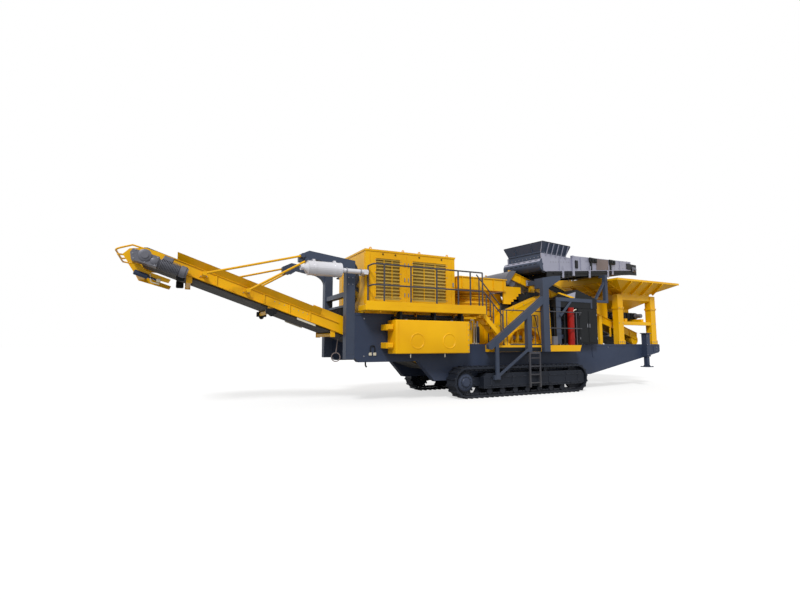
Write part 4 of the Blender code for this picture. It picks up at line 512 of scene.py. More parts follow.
def buildDischargeParts():
    d = discharge
    face = d["face"]
    shapes = [block(around(x, 0.02), (face, face - 0.03), (beltLine(x) - 0.108, beltLine(x) + 0.11), 0.003)
              for x in d["stiffeners"]]
    # flanges along the edges of the wall
    shapes += [strip(beltLine, (-9.25, -5.30), (lift, lift + 0.014), (face, face - 0.03))
               for lift in (-0.116, 0.122)]
    finishPair("conveyor_wall_ribs", shapes, "machineYellow")
    # snub block behind the drive, and the bracket of a return roller
    finishPair("conveyor_brackets", [
        block((-9.01, -8.84), (face + 0.02, face - 0.05), (2.82, 3.00), 0.02),
        block((-7.10, -6.85), (face + 0.04, face - 0.03), (2.17, 2.30), 0.012),
        rod((-6.97, face + 0.01, 2.17), (-6.97, face - 0.05, 2.17), 0.06, 18, bevel=0.008)], "blackEnamel")
    # clevis plates of the tie rods, and the gusset under the lower rod's end
    clevis = [(-0.10, -0.05), (0.10, -0.05), (0.04, 0.08), (-0.04, 0.08)]
    shapes = [plateShape([(x + dx, beltLine(x) + 0.02 + dz) for dx, dz in clevis], (face, face - 0.018))
              for x in d["clevises"]]
    gusset = [(-7.86, 2.80), (-7.40, 2.62), (-7.40, 2.53), (-7.62, 2.55), (-7.86, 2.68)]
    finishPair("rod_clevises", shapes + [plateShape(gusset, (face, face - 0.014))], "machineYellow")
    shapes = [bolt((x + dx, face - 0.018, beltLine(x) - 0.01), 0.010) for x in d["clevises"]
              for dx in (-0.06, 0.06)]
    shapes += [bolt((x, face, beltLine(x) + 0.045), 0.008) for x in spread(-6.9, -6.1, 8)]
    finishPair("conveyor_bolts", shapes, "boltZinc")
    # pale strip under the tail of the wall
    pale = [(-6.36, 2.055), (-5.90, 1.895), (-5.90, 1.945), (-6.36, 2.105)]
    finishPair("conveyor_strip", [plateShape(pale, (face, face - 0.012))], "ivoryEnamel")
    finishPair("skirt_rubber", [strip(beltLine, (-9.1, -5.2), (0.11, 0.155), (-0.600, -0.615))],
               "mouldedRubber")
    # scraper under the head drum: cheeks, blade, its tensioner and links, all measured from the drum's axle
    atHead = Matrix.Translation((d["head"][0], 0, d["head"][1]))
    cheek = [(-0.24, -0.20), (-0.10, -0.22), (0.02, -0.36), (0.49, -0.52), (0.45, -0.60), (-0.20, -0.42),
             (-0.26, -0.30)]
    finishPiece("belt_scraper", [plateShape(cheek, (y, y + 0.02)) for y in (-0.635, 0.615)] + [
        block((-0.19, -0.06), (-0.615, 0.615), (-0.41, -0.33), 0.006),
        block((-0.245, -0.205), (-0.56, 0.56), (-0.30, -0.155), 0.004)], "machineYellow", matrix=atHead)
    finishPiece("scraper_tensioner", [
        rod((-0.20, -0.66, -0.40), (0.06, -0.66, -0.49), 0.055, 18, bevel=0.012),
        rod((0.06, -0.66, -0.49), (0.24, -0.66, -0.555), 0.022)], "chassisEnamel", matrix=atHead)
    hx, hz = d["head"]
    finishPiece("scraper_links", [
        block((hx + 0.22, hx + 0.30), (-0.69, -0.64), (hz - 0.60, hz - 0.52), 0.01),
        pipeShape([(hx + 0.10, -0.66, hz - 0.43), (hx + 0.12, -0.68, hz - 0.60),
                   (hx + 0.28, -0.68, hz - 0.64)], 0.012, 0.03)], "ivoryEnamel")
    # lower bar of the guard at the head's tip
    shapes = [pipeShape([(-0.52, side * 0.50, -0.02), (-0.20, side * 0.58, -0.06)], 0.018, 0.03)
              for side in (-1, 1)]
    shapes.append(rod((-0.52, -0.51, -0.02), (-0.52, 0.51, -0.02), 0.018, 10))
    finishPiece("head_guard_bar", shapes, "machineYellow", matrix=atHead)
    # motor: cooling fins, terminal box and the cowl over its fan
    start, end = Vector((0.20, -0.8053, -0.19)), Vector((0.78, -0.8053, -0.38))
    half = (end - start).normalized() * 0.006
    finishPiece("motor_fins", [rod(start.lerp(end, share) - half, start.lerp(end, share) + half, 0.132, 28)
                               for share in spread(0.16, 0.74, 13)], "gearGrey", matrix=atHead)
    boxFoot = start.lerp(end, 0.38) + Vector((0, 0, 0.10))
    tilt = Matrix.Translation(boxFoot) @ Matrix.Rotation(atan2(0.19, 0.58), 4, "Y")
    finishPiece("motor_box", [
        moved(block((-0.10, 0.10), (-0.055, 0.055), (0, 0.10), 0.012), tilt),
        rod(start.lerp(end, 0.78), end, 0.128, 28, bevel=0.018),
        rod(end, start.lerp(end, 1.015), 0.095, 20)], "gearGrey", matrix=atHead)
    finishPiece("gearbox_bolts", [bolt((x, d["caseFace"], z), 0.013) for x, z in (
        (-0.22, -0.06), (-0.20, -0.16), (0.0, -0.23), (0.18, -0.28), (0.235, -0.12), (0.02, -0.04),
        (-0.17, 0.02))],
        "boltZinc", matrix=atHead)
    # round covers on the gear case
    finishPiece("gearbox_cover", [
        turnedShape([(0, 0.03), (0.10, 0.03), (0.125, 0.018), (0.125, 0)], (0, d["caseFace"], -0.08),
                    (0, -1, 0)),
        turnedShape([(0, 0.02), (0.055, 0.02), (0.07, 0.010), (0.07, 0)], (0.17, d["caseFace"], -0.19),
                    (0, -1, 0), 20)],
        "gearGrey", matrix=atHead)
    # rubber curtain across the tail, in overlapping flaps, under its bar
    x, z = d["tail"], beltLine(d["tail"])
    finishPiece("tail_curtain", [
        block((x - 0.008 + 0.006 * (i % 2), x + 0.002 + 0.006 * (i % 2)), around(y, 0.062),
              (z + 0.20, z + 0.62), 0.002)
        for i, y in enumerate(spread(-0.52, 0.52, 9))], "mouldedRubber")
    finishPiece("curtain_bar", [block((x - 0.030, x + 0.024), (-0.775, 0.775), (z + 0.60, z + 0.66), 0.004)],
                "structureEnamel")


buildDischargeParts()
print("discharge conveyor done")

gantry = {"postLeft": -5.2253, "pins": ((-6.34, 3.56), (-6.24, 3.45))}


def buildGantryParts():
    # cheeks round the pins of the tie rods
    shapes = [turnedShape([(0, 0.022), (0.05, 0.022), (0.058, 0.012), (0.058, 0)], (x, nearFace - 0.0503, z),
                          (0, -1, 0), 18) for x, z in gantry["pins"]]
    left = gantry["postLeft"]
    shapes.append(block((left + 0.02, left + 0.20), (nearFace, nearFace - 0.004), (1.20, 1.60), 0.001))
    finishPair("gantry_pins", shapes, "structureEnamel")
    finishPair("gantry_bolts",
               [bolt((x, nearFace + 0.002, z), 0.010) for z in (2.95, 3.12) for x in (-5.17, -5.06)],
               "boltZinc")
    # hoses down the tail of the near beam
    finishPiece("tail_hoses", [
        pipeShape([(-5.02, -0.94, 2.05), (-5.16, -0.94, 1.86), (-5.16, -0.90, 1.45), (-5.02, -0.90, 1.30)],
                  0.016, 0.08),
        pipeShape([(-5.02, -0.90, 2.05), (-5.19, -0.90, 1.80), (-5.19, -0.86, 1.50), (-5.02, -0.86, 1.36)],
                  0.016, 0.08)],
        "mouldedRubber")
    # lines that end at the tail: a ring of pipe, couplings on the beam and two valves
    finishPiece("tail_ring", [
        ringShape(0.10, 0.122, 0.010, (-5.28, -0.40, 1.13), (0.4, 1, 0), 28),
        pipeShape([(-5.28, -0.42, 1.25), (-5.24, -0.42, 1.60), (-5.14, -0.40, 1.66)], 0.014, 0.05)],
                "wornPrimer")
    finishPiece("tail_couplings",
                [block((x, x + 0.08), (-1.03, -1.0), (1.17, 1.25), 0.01) for x in (-4.62, -4.50)],
                "ivoryEnamel")
    finishPiece("tail_coupling_hoses", [
        pipeShape([(-4.58, -1.015, 1.249), (-4.58, -1.025, 1.42), (-4.46, -1.025, 1.42),
                   (-4.46, -1.015, 1.249)],
                  0.012, 0.05),
        pipeShape([(-4.70, -0.985, 1.03), (-4.70, -0.99, 0.93), (-4.67, -0.99, 0.89)], 0.022, 0.03)],
                "mouldedRubber")
    finishPiece("tail_valves", [
        block((-5.14, -5.03), (-0.86, -0.70), (1.42, 1.50), 0.01),
        block((-5.14, -5.05), (-0.72, -0.60), (1.62, 1.72), 0.01),
        pipeShape([(-5.10, -0.66, 1.60), (-5.16, -0.70, 1.36), (-5.12, -0.80, 1.22)], 0.014, 0.05)],
                "ivoryEnamel")


buildGantryParts()

muffler = {"y": -1.1753, "z": 3.25, "radius": 0.175, "bands": (-6.11, -5.60), "ends": (-6.258, -5.452)}


def buildMufflerParts():
    r, y, z = muffler["radius"], muffler["y"], muffler["z"]
    shapes = [ringShape(r + 0.0005, r + 0.008, 0.022, (x, y, z), (1, 0, 0), 32) for x in muffler["bands"]]
    # rolled beads at either end of the shell
    bead = [(r - 0.004, -0.010), (r + 0.006, -0.006), (r + 0.006, 0.006), (r - 0.004, 0.010),
            (r - 0.004, -0.010)]
    shapes += [turnedShape(bead, (x, y, z), (1, 0, 0), 32) for x in muffler["ends"]]
    finishPiece("muffler_bands", shapes, "aluminised")
    finishPiece("exhaust_clamps",
                [ringShape(0.0625, 0.078, 0.015, (x, y, z), (1, 0, 0)) for x in (-5.30, -4.93)],
                "boltZinc")
    # lip of the outlet and the dark inside of its pipe
    finishPiece("exhaust_outlet", [ringShape(0.050, 0.068, 0.0155, (-6.4145, y, z), (-1, 0, 0))],
                "aluminised")
    finishPiece("exhaust_throat", [rod((-6.395, y, z), (-6.405, y, z), 0.052, 24)], "mouldedRubber")


buildMufflerParts()

house = {
    "left": -4.73, "right": -2.01, "top": 3.90, "louvres": ((-4.43, -3.74), (-3.35, -2.30)),
    "louvreLow": 2.60, "louvreHigh": 3.67, "fanZ": 3.07,
}


def buildHouseParts():
    h = house
    low, high, top, tail, end = h["louvreLow"], h["louvreHigh"], h["top"], h["left"], h["right"]
    skin = (nearFace, nearFace - 0.012)
    # frames round the louvres, and door strips
    shapes = [block(around(x, 0.008), skin, (2.50, 3.80), 0.002) for x in (-4.60, -3.545, -2.12)]
    for left, right in h["louvres"]:
        shapes += [block((left - 0.035, right + 0.035), skin, zs, 0.003)
                   for zs in ((low - 0.035, low - 0.002), (high + 0.002, high + 0.035))]
        shapes += [block(xs, skin, (low - 0.002, high + 0.002), 0.003)
                   for xs in ((left - 0.035, left - 0.002), (right + 0.002, right + 0.035))]
    finishPair("louvre_frames", shapes, "machineYellow")
    # upright stays behind the slats' front edges
    finishPair("louvre_stays",
               [block(around(x, 0.010), (nearFace + 0.010, nearFace + 0.001), (low + 0.03, high - 0.03))
                                for ends in h["louvres"] for x in spread(*ends, 4)[1:-1]], "machineYellow")
    # hinges, latches and the bolts of the frames
    shapes = [rod((x, skin[1], z - 0.05), (x, skin[1], z + 0.05), 0.012, 10)
              for x in (-3.60, -3.49) for z in (2.75, 3.15, 3.55)]
    shapes += [block(around(x, 0.02), (nearFace, nearFace - 0.022), (3.05, 3.17), 0.005)
               for x in (-4.66, -2.07)]
    shapes += [bolt((x, skin[1], z), 0.009) for left, right in h["louvres"]
               for x in (left - 0.019, right + 0.019)
               for z in spread(low + 0.05, high - 0.05, 4)]
    finishPair("house_fittings", shapes, "boltZinc")
    finishPair("house_eyes", [rod((x, nearFace, 3.795), (x, nearFace - 0.022, 3.795), 0.020, bevel=0.004)
                              for x in (-4.24, -3.88, -3.16, -2.45)], "blackEnamel")
    # lifting eyes on the roof's edge
    shapes = []
    for x in (-4.55, -3.60, -3.10, -2.20):
        for y in (-0.90, 0.90):
            shapes.append(ringShape(0.016, 0.038, 0.008, (x, y, top + 0.040), (0, 1, 0), 14))
            shapes.append(block(around(x, 0.03), around(y, 0.02), (top, top + 0.008)))
    finishPiece("lifting_eyes", shapes, "machineYellow")
    # pressed stiffening ribs along the roof, and a covered hatch
    shapes = [block((tail + 0.15, end - 0.15), around(y, 0.03), (top, top + 0.015), 0.006)
              for y in (-0.62, -0.30, 0.30, 0.62)]
    shapes.append(block((-3.10, -2.35), (-0.22, 0.22), (top, top + 0.035), 0.010))
    finishPiece("roof_ribs", shapes, "machineYellow")
    # cooling fan at the tail: rings and spokes of its guard, then its hub and swept blades
    atFan = Matrix.Translation((tail, 0, h["fanZ"]))
    shapes = [ringShape(r - 0.004, r + 0.004, 0.004, (-0.006, 0, 0), (1, 0, 0), 36)
              for r in spread(0.10, 0.60, 9)]
    shapes += [rod((-0.003, -0.63 * cos(a), -0.63 * sin(a)), (-0.003, 0.63 * cos(a), 0.63 * sin(a)), 0.005, 6)
               for a in turns(16)[:8]]
    finishPiece("fan_guard", shapes, "railCoat", matrix=atFan)
    sweep = Matrix.Rotation(radians(24), 4, "Y")
    shapes = [moved(block((-0.006, 0.006), (0.12, 0.58), (-0.085, 0.085), 0.004),
                    Matrix.Translation((0.058, 0, 0)) @ Matrix.Rotation(a, 4, "X") @ sweep) for a in turns(7)]
    shapes.append(turnedShape([(0, 0.03), (0.10, 0.03), (0.13, 0.01), (0.13, -0.03)], (0.065, 0, 0),
                              (-1, 0, 0)))
    finishPiece("cooling_fan", shapes, "blackEnamel", matrix=atFan)
    # panels beside the fan, and the hatch with its ribs on the crusher end
    finishPiece("house_end_panels", [block((tail - 0.010, tail), ys, (2.45, 3.80), 0.003)
                                     for ys in ((-0.96, -0.70), (0.70, 0.96))], "machineYellow")
    shapes = [block((end + 0.012, end + 0.03), (-0.45, 0.45), around(z, 0.02), 0.004)
              for z in spread(2.65, 3.45, 7)]
    shapes.append(block((end, end + 0.012), (-0.55, 0.55), (2.50, 3.60), 0.003))
    finishPiece("house_rear_hatch", shapes, "machineYellow")


buildHouseParts()
print("power house done")

flank = {
    "walk": (-4.91, -1.305), "walkTop": 2.42, "tank": (-4.10, -1.87), "tankLow": 1.22, "tankTop": 2.07,
    "rings": (-3.48, -2.52), "ringZ": 1.54, "ringRadius": 0.19, "pressing": 0.012,
}


def buildFlankParts():
    f = flank
    (left, right), top, low, high = f["walk"], f["walkTop"], f["tankLow"], f["tankTop"]
    # open grating on the walkway
    shapes = [block(around(x, 0.004), (-1.03, -1.46), (top, top + 0.012))
              for x in spread(left + 0.05, right - 0.05, 58)]
    shapes += [block((left + 0.04, right - 0.04), around(y, 0.004), (top, top + 0.010))
               for y in spread(-1.06, -1.44, 4)]
    finishPair("walkway_grating", shapes, "railCoat")
    # kick plate at its edge; webs over the tank and brackets beyond it
    shapes = [block((left + 0.01, right - 0.01), (widest + 0.012, widest), (top - 0.01, top + 0.09), 0.003)]
    shapes += [block(around(x, 0.006), (-1.00, -1.10), (2.10, 2.28)) for x in (-3.9, -3.3, -2.7, -2.1)]
    shapes += [block(around(x, 0.02), (-1.00, -1.46), (2.235, 2.28), 0.004) for x in (-4.5, -1.5)]
    finishPair("walkway_edge", shapes, "machineYellow")
    # feet of the handrail
    shapes = []
    for x in (-4.40, -3.65, -2.88, -2.20, -1.80, -1.39):
        shapes.append(block(around(x, 0.035), (-1.415, -1.485), (top + 0.0125, top + 0.024), 0.003))
        shapes += [bolt((x + dx, y, top + 0.024), 0.008, up) for dx, y in ((-0.022, -1.475), (0.022, -1.425))]
    finishPair("rail_feet", shapes, "boltZinc")
    # tank: its sheet lies back by the height of the pressings, so that they end at the machine's width
    face = widest + f["pressing"]
    shells = finishPair("tank_shell", [block(f["tank"], (nearFace - 0.0003, face), (low, high), 0.025, 3)],
                        "machineYellow")
    for piece, label in zip(shells, ("near", "far")):
        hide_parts(f"side_tank_{label}")
    # pressed rings, seams and end lugs
    r = f["ringRadius"]
    ring = [(r - 0.022, -0.004), (r - 0.008, 0.010), (r + 0.008, 0.010), (r + 0.022, -0.004),
            (r - 0.022, -0.004)]
    shapes = [turnedShape(ring, (x, face, f["ringZ"]), (0, -1, 0), 40) for x in f["rings"]]
    shapes += [block(around(x, 0.008), (face, face - 0.007), (low + 0.04, high - 0.04), 0.002)
               for x in (-4.02, -1.96)]
    for z in (1.425, 1.88):
        shapes.append(block((-4.29, -4.098), (-1.002, -1.36), around(z, 0.075), 0.012))
        shapes.append(block((-4.27, -4.12), (-1.358, -1.40), around(z, 0.05), 0.008))
    finishPair("tank_pressings", shapes, "machineYellow")
    # bolts and filler caps, and drain cocks below
    shapes = [bolt((-1.915, face, z), 0.010) for z in spread(1.30, 1.98, 6)]
    shapes += [turnedShape([(0, 0.035), (0.05, 0.035), (0.055, 0.028), (0.055, 0)], (x, -1.25, high), up, 20)
               for x in (-3.70, -2.30)]
    finishPair("tank_fittings", shapes, "boltZinc")
    finishPair("tank_drains", [rod((x, -1.44, low + 0.005), (x, -1.44, low - 0.10), 0.014, 10, 0.010)
                               for x in (-3.66, -2.64)], "ivoryEnamel")
    # dark pipe over the tank, and the blocks that hold the walkway above it
    for label, side in (("near", -1), ("far", 1)):
        route = [(-4.0, 1.06), (-4.0, 1.30), (-2.0, 1.30), (-2.0, 1.06)]
        shapes = [pipeShape([(x, side * y, 2.14) for x, y in route], 0.026, 0.08)]
        shapes += [block(around(x, 0.03), (side * 1.20, side * 1.40), (2.0695, 2.281), 0.004)
                   for x in (-3.9, -2.9, -2.05)]
        finishPiece(f"tank_pipe_{label}", shapes, "blackEnamel")


buildFlankParts()
print("walkways and tanks done")

crusher = {
    "x": -0.90, "ridges": ((2.53, 0.725), (2.60, 0.725), (2.67, 0.725), (2.82, 0.708), (2.89, 0.708)),
    "teeth": 44,
    "cylinders": 10, "feedLeft": -1.76, "feedRight": -0.05, "feedHalf": 0.855, "feedTop": 3.42,
}


def buildCrusherParts():
    c = crusher
    onAxis = Matrix.Translation((c["x"], 0, 0))
    # ridged bowl and the toothed adjustment ring
    shapes = [ringShape(r - 0.03, r + 0.045, 0.012, (0, 0, z), up, 40) for z, r in c["ridges"]]
    shapes += [moved(block((0.768, 0.795), (-0.026, 0.026), (2.31, 2.43), 0.005), Matrix.Rotation(a, 4, "Z"))
               for a in turns(c["teeth"])]
    finishPiece("bowl_ridges", shapes, "machineYellow", matrix=onAxis)
    # release cylinders round the frame, with rods up to the bowl's ring
    posts = [(0.672 * cos(a), 0.672 * sin(a)) for a in turns(c["cylinders"], 0.25)]
    finishPiece("release_cylinders",
                [rod((x, y, 1.50), (x, y, 1.98), 0.062, 16, bevel=0.01) for x, y in posts],
                "chassisEnamel", matrix=onAxis)
    finishPiece("release_rods", [rod((x, y, low), (x, y, high), radius) for x, y in posts
                                 for low, high, radius in ((1.979, 2.131, 0.028), (1.40, 1.501, 0.034))],
                "boltZinc", matrix=onAxis)
    # bolts on the frame's upper flange
    finishPiece("bowl_bolts", [bolt((0.765 * cos(a), 0.765 * sin(a), 2.4403), 0.013, up) for a in turns(28)],
                "boltZinc", matrix=onAxis)
    # feed box: flange and ribs on its four sides
    shapes = []
    left, right, half, top = c["feedLeft"], c["feedRight"], c["feedHalf"], c["feedTop"]
    flange, upright = (top - 0.03, top), (3.09, top - 0.03)
    for side, x in ((-1, left), (1, right)):
        ys, xs = (side * half, side * (half + 0.03)), (x, x + side * 0.03)
        shapes.append(block((left, right), ys, flange, 0.004))
        shapes.append(block(xs, around(0, half + 0.03), flange, 0.004))
        shapes += [block(around(x, 0.010), ys, upright, 0.002) for x in spread(left + 0.10, right - 0.10, 5)]
        shapes += [block(xs, around(y, 0.010), upright, 0.002) for y in spread(0.12 - half, half - 0.12, 5)]
    finishPiece("feed_box_ribs", shapes, "machineYellow")
    finishPiece("feed_box_bolts", [bolt((x, side * (half + 0.015), top), 0.010, up)
                                   for x in spread(left + 0.06, right - 0.06, 9) for side in (-1, 1)],
                "boltZinc")
    # lubrication pipes down the near side of the frame
    finishPiece("oil_pipes", [
        pipeShape([(x, start, z), (x, down, z), (x, down, 1.475), (x, down - 0.10, 1.475)], radius)
        for x, start, down, z,
        radius in ((-1.33, -0.62, -0.80, 2.10, 0.018), (-1.24, -0.64, -0.82, 2.16, 0.018),
                                          (-1.15, -0.66, -0.80, 2.05, 0.014))], "ivoryEnamel")
    # housing of the drive shaft, which closes the space between the bowl and the guard
    outline = [(-0.46, 1.52), (0.10, 1.52), (0.12, 2.70), (-0.02, 3.01), (-0.46, 3.01)]
    cover = [(0, 0.05), (0.05, 0.05), (0.06, 0.02), (0.11, 0.02), (0.12, 0)]
    shapes = [plateShape(outline, (-0.54, -0.30), 0.012),
              turnedShape(cover, (-0.14, -0.54, 2.58), (0, -1, 0))]
    shapes += [block((-0.40, 0.08), (-0.555, -0.54), (z, z + 0.03), 0.004) for z in (2.20, 2.80)]
    finishPiece("shaft_housing", shapes, "machineYellow")
    finishPiece("shaft_housing_bolts", [bolt((-0.14 + 0.09 * cos(a), -0.56, 2.58 + 0.09 * sin(a)), 0.010)
                                        for a in (0.4, 1.45, 2.5, 3.54, 4.6, 5.6)], "boltZinc")
    # lubrication unit between the beams' shelf and the crusher
    finishPiece("oil_unit", [block((-1.66, -1.42), (-0.98, -0.74), (1.4605, 1.86), 0.012),
                             rod((-1.54, -0.86, 1.86), (-1.54, -0.86, 1.98), 0.07, 20, bevel=0.01)],
                "machineYellow")


buildCrusherParts()
print("crusher done")

deck = {"left": -0.98, "right": 2.52, "low": 1.24, "top": 1.43}


def buildDeckParts():
    left, right, low, top = deck["left"], deck["right"], deck["low"], deck["top"]
    finishPair("deck_treads", [block(around(x, 0.004), (-1.02, -1.15), (top, top + 0.009))
                               for x in spread(left + 0.55, right - 0.12, 42)], "railCoat")
    finishPair("deck_fascia",
               [block((left + 0.03, 0.80), (deckFace, deckFace - 0.006), (low + 0.004, low + 0.13), 0.002)],
               "blackEnamel")
    # rib and webs along the far deck's edge
    shapes = [block(around(x, 0.01), (-deckFace, 0.010 - deckFace), (low + 0.03, top - 0.01))
              for x in spread(left + 0.2, right - 0.2, 6)]
    shapes.append(block((left + 0.02, right - 0.09), (-deckFace, 0.012 - deckFace),
                        (low + 0.012, low + 0.030), 0.003))
    finishPiece("deck_edge_far", shapes, "machineYellow")


buildDeckParts()

guard = {
    "arch": (0.53, 1.475),
    "bolts": ((-0.46, 1.60), (-0.46, 2.0), (1.35, 1.60), (1.35, 2.10), (1.35, 2.60), (1.0, 2.86),
                                     (0.5, 2.66), (0.1, 2.52), (-0.30, 2.36)),
    "motors": ((-0.12, 0.30, 2.46, 2.72), (0.12, 0.56, 2.60, 2.86), (0.36, 0.86, 2.76, 3.02),
               (0.86, 1.40, 2.90, 3.10)),
}


def buildGuardParts():
    skin = (nearFace - 0.012, nearFace)
    x, z = guard["arch"]
    shapes = [block(xs, skin, (1.50, top), 0.003)
              for xs, top in (((-0.312, -0.288), 2.30), ((-0.142, -0.118), 2.38), ((1.17, 1.20), 2.78))]
    # rim of the arch, between two ellipses
    angles = [pi * i / 16 for i in range(17)]
    outer, inner = ([(x - a * cos(t), z + b * sin(t)) for t in angles] for a,
                    b in ((0.64, 0.485), (0.622, 0.467)))
    shapes += [plateShape(edge, (nearFace - 0.022, nearFace))
               for edge in zip(outer, outer[1:], inner[1:], inner)]
    shapes.append(plateShape([(-0.02, 2.42), (1.14, 2.90), (1.14, 2.93), (-0.02, 2.45)], skin))
    finishPiece("guard_seams", shapes, "machineYellow")
    finishPiece("guard_grab_bar", [pipeShape(
        [(0.90, -0.9995, 2.33), (0.90, -1.045, 2.33), (1.08, -1.045, 1.60), (1.08, -0.9995, 1.60)], 0.014,
        0.04)],
        "railCoat")
    finishPiece("guard_bolts", [bolt((x, nearFace, z), 0.014) for x, z in guard["bolts"]], "boltZinc")
    # what shows under the arch: inner cover, columns and the base rail
    finishPiece("guard_inner_cover", [block((-0.12, 1.20), (-0.765, -0.755), (1.462, 1.94))], "machineYellow")
    shapes = [block(around(x, 0.045), (-0.90, -0.765), (1.50, 1.84), 0.008)
              for x in (0.10, 0.34, 0.58, 0.82, 1.04)]
    shapes.append(block((-0.06, 1.14), (-0.93, -0.765), (1.462, 1.515), 0.006))
    finishPiece("guard_columns", shapes, "machineYellow")
    finishPiece("guard_machinery", [rod((x, -0.80, 1.66), (x + 0.12, -0.80, 1.66), 0.075, 18, bevel=0.01)
                                    for x in (0.16, 0.40, 0.64, 0.88)], "wornPrimer")
    # dark motor housings that step up behind the guard, and the toothed bracket beside the feed box
    finishPiece("motor_housings", [block((x0, x1), (-0.738, -0.64), (z0, z1), 0.012)
                                   for x0, x1, z0, z1 in guard["motors"]], "blackEnamel")
    outline = [(-0.051, 3.22), (0.58, 3.22), (0.58, 3.02), (0.48, 3.02), (0.48, 2.93), (0.40, 2.93),
               (0.40, 2.84),
               (0.28, 2.84), (0.28, 2.76), (0.18, 2.76), (0.18, 2.68), (-0.10, 2.68), (-0.10, 3.04),
               (-0.051, 3.04)]
    finishPiece("toothed_bracket", [plateShape(outline, (-0.80, -0.75))], "machineYellow")
    # handrail of the deck before the guard, and a closed grab loop
    y = -1.35
    finishPiece("deck_handrail", [
        pipeShape([(-0.60, y, 1.43), (-0.60, y, 2.44), (0.80, y, 2.44), (0.80, -1.38, 2.44)], 0.017, 0.04),
        rod((-0.47, y, 1.43), (-0.47, y, 2.44), 0.014, 10),
        pipeShape([(0.48, y, 1.95), (0.48, y, 2.32), (0.72, y, 2.32), (0.72, y, 1.95), (0.50, y, 1.95)],
                  0.012, 0.05),
        rod((0.60, y, 1.43), (0.60, y, 1.95), 0.012, 10)], "railCoat")


buildGuardParts()

# bolts of the return stand, and treads laid on the ladder's rungs
finishPiece("stand_bolts", [bolt((x, widest + 0.016, z), 0.012)
                            for z in (1.30, 1.38, 2.62, 2.78, 2.94, 3.18, 3.25) for x in (0.86, 1.01)],
            "boltZinc")
finishPiece("ladder_treads", [block((0.262, 0.628), (-1.488, -1.452), (z - 0.012, z + 0.004), 0.003)
                              for z in (0.355, 0.595, 0.832, 1.069)], "railCoat")
print("deck, guard and stand done")

cabinet = {"face": -1.20, "railY": -1.34, "vessel": (2.29, -1.18), "pipes": (1.93, 1.99, 2.05, 2.11, 2.17)}


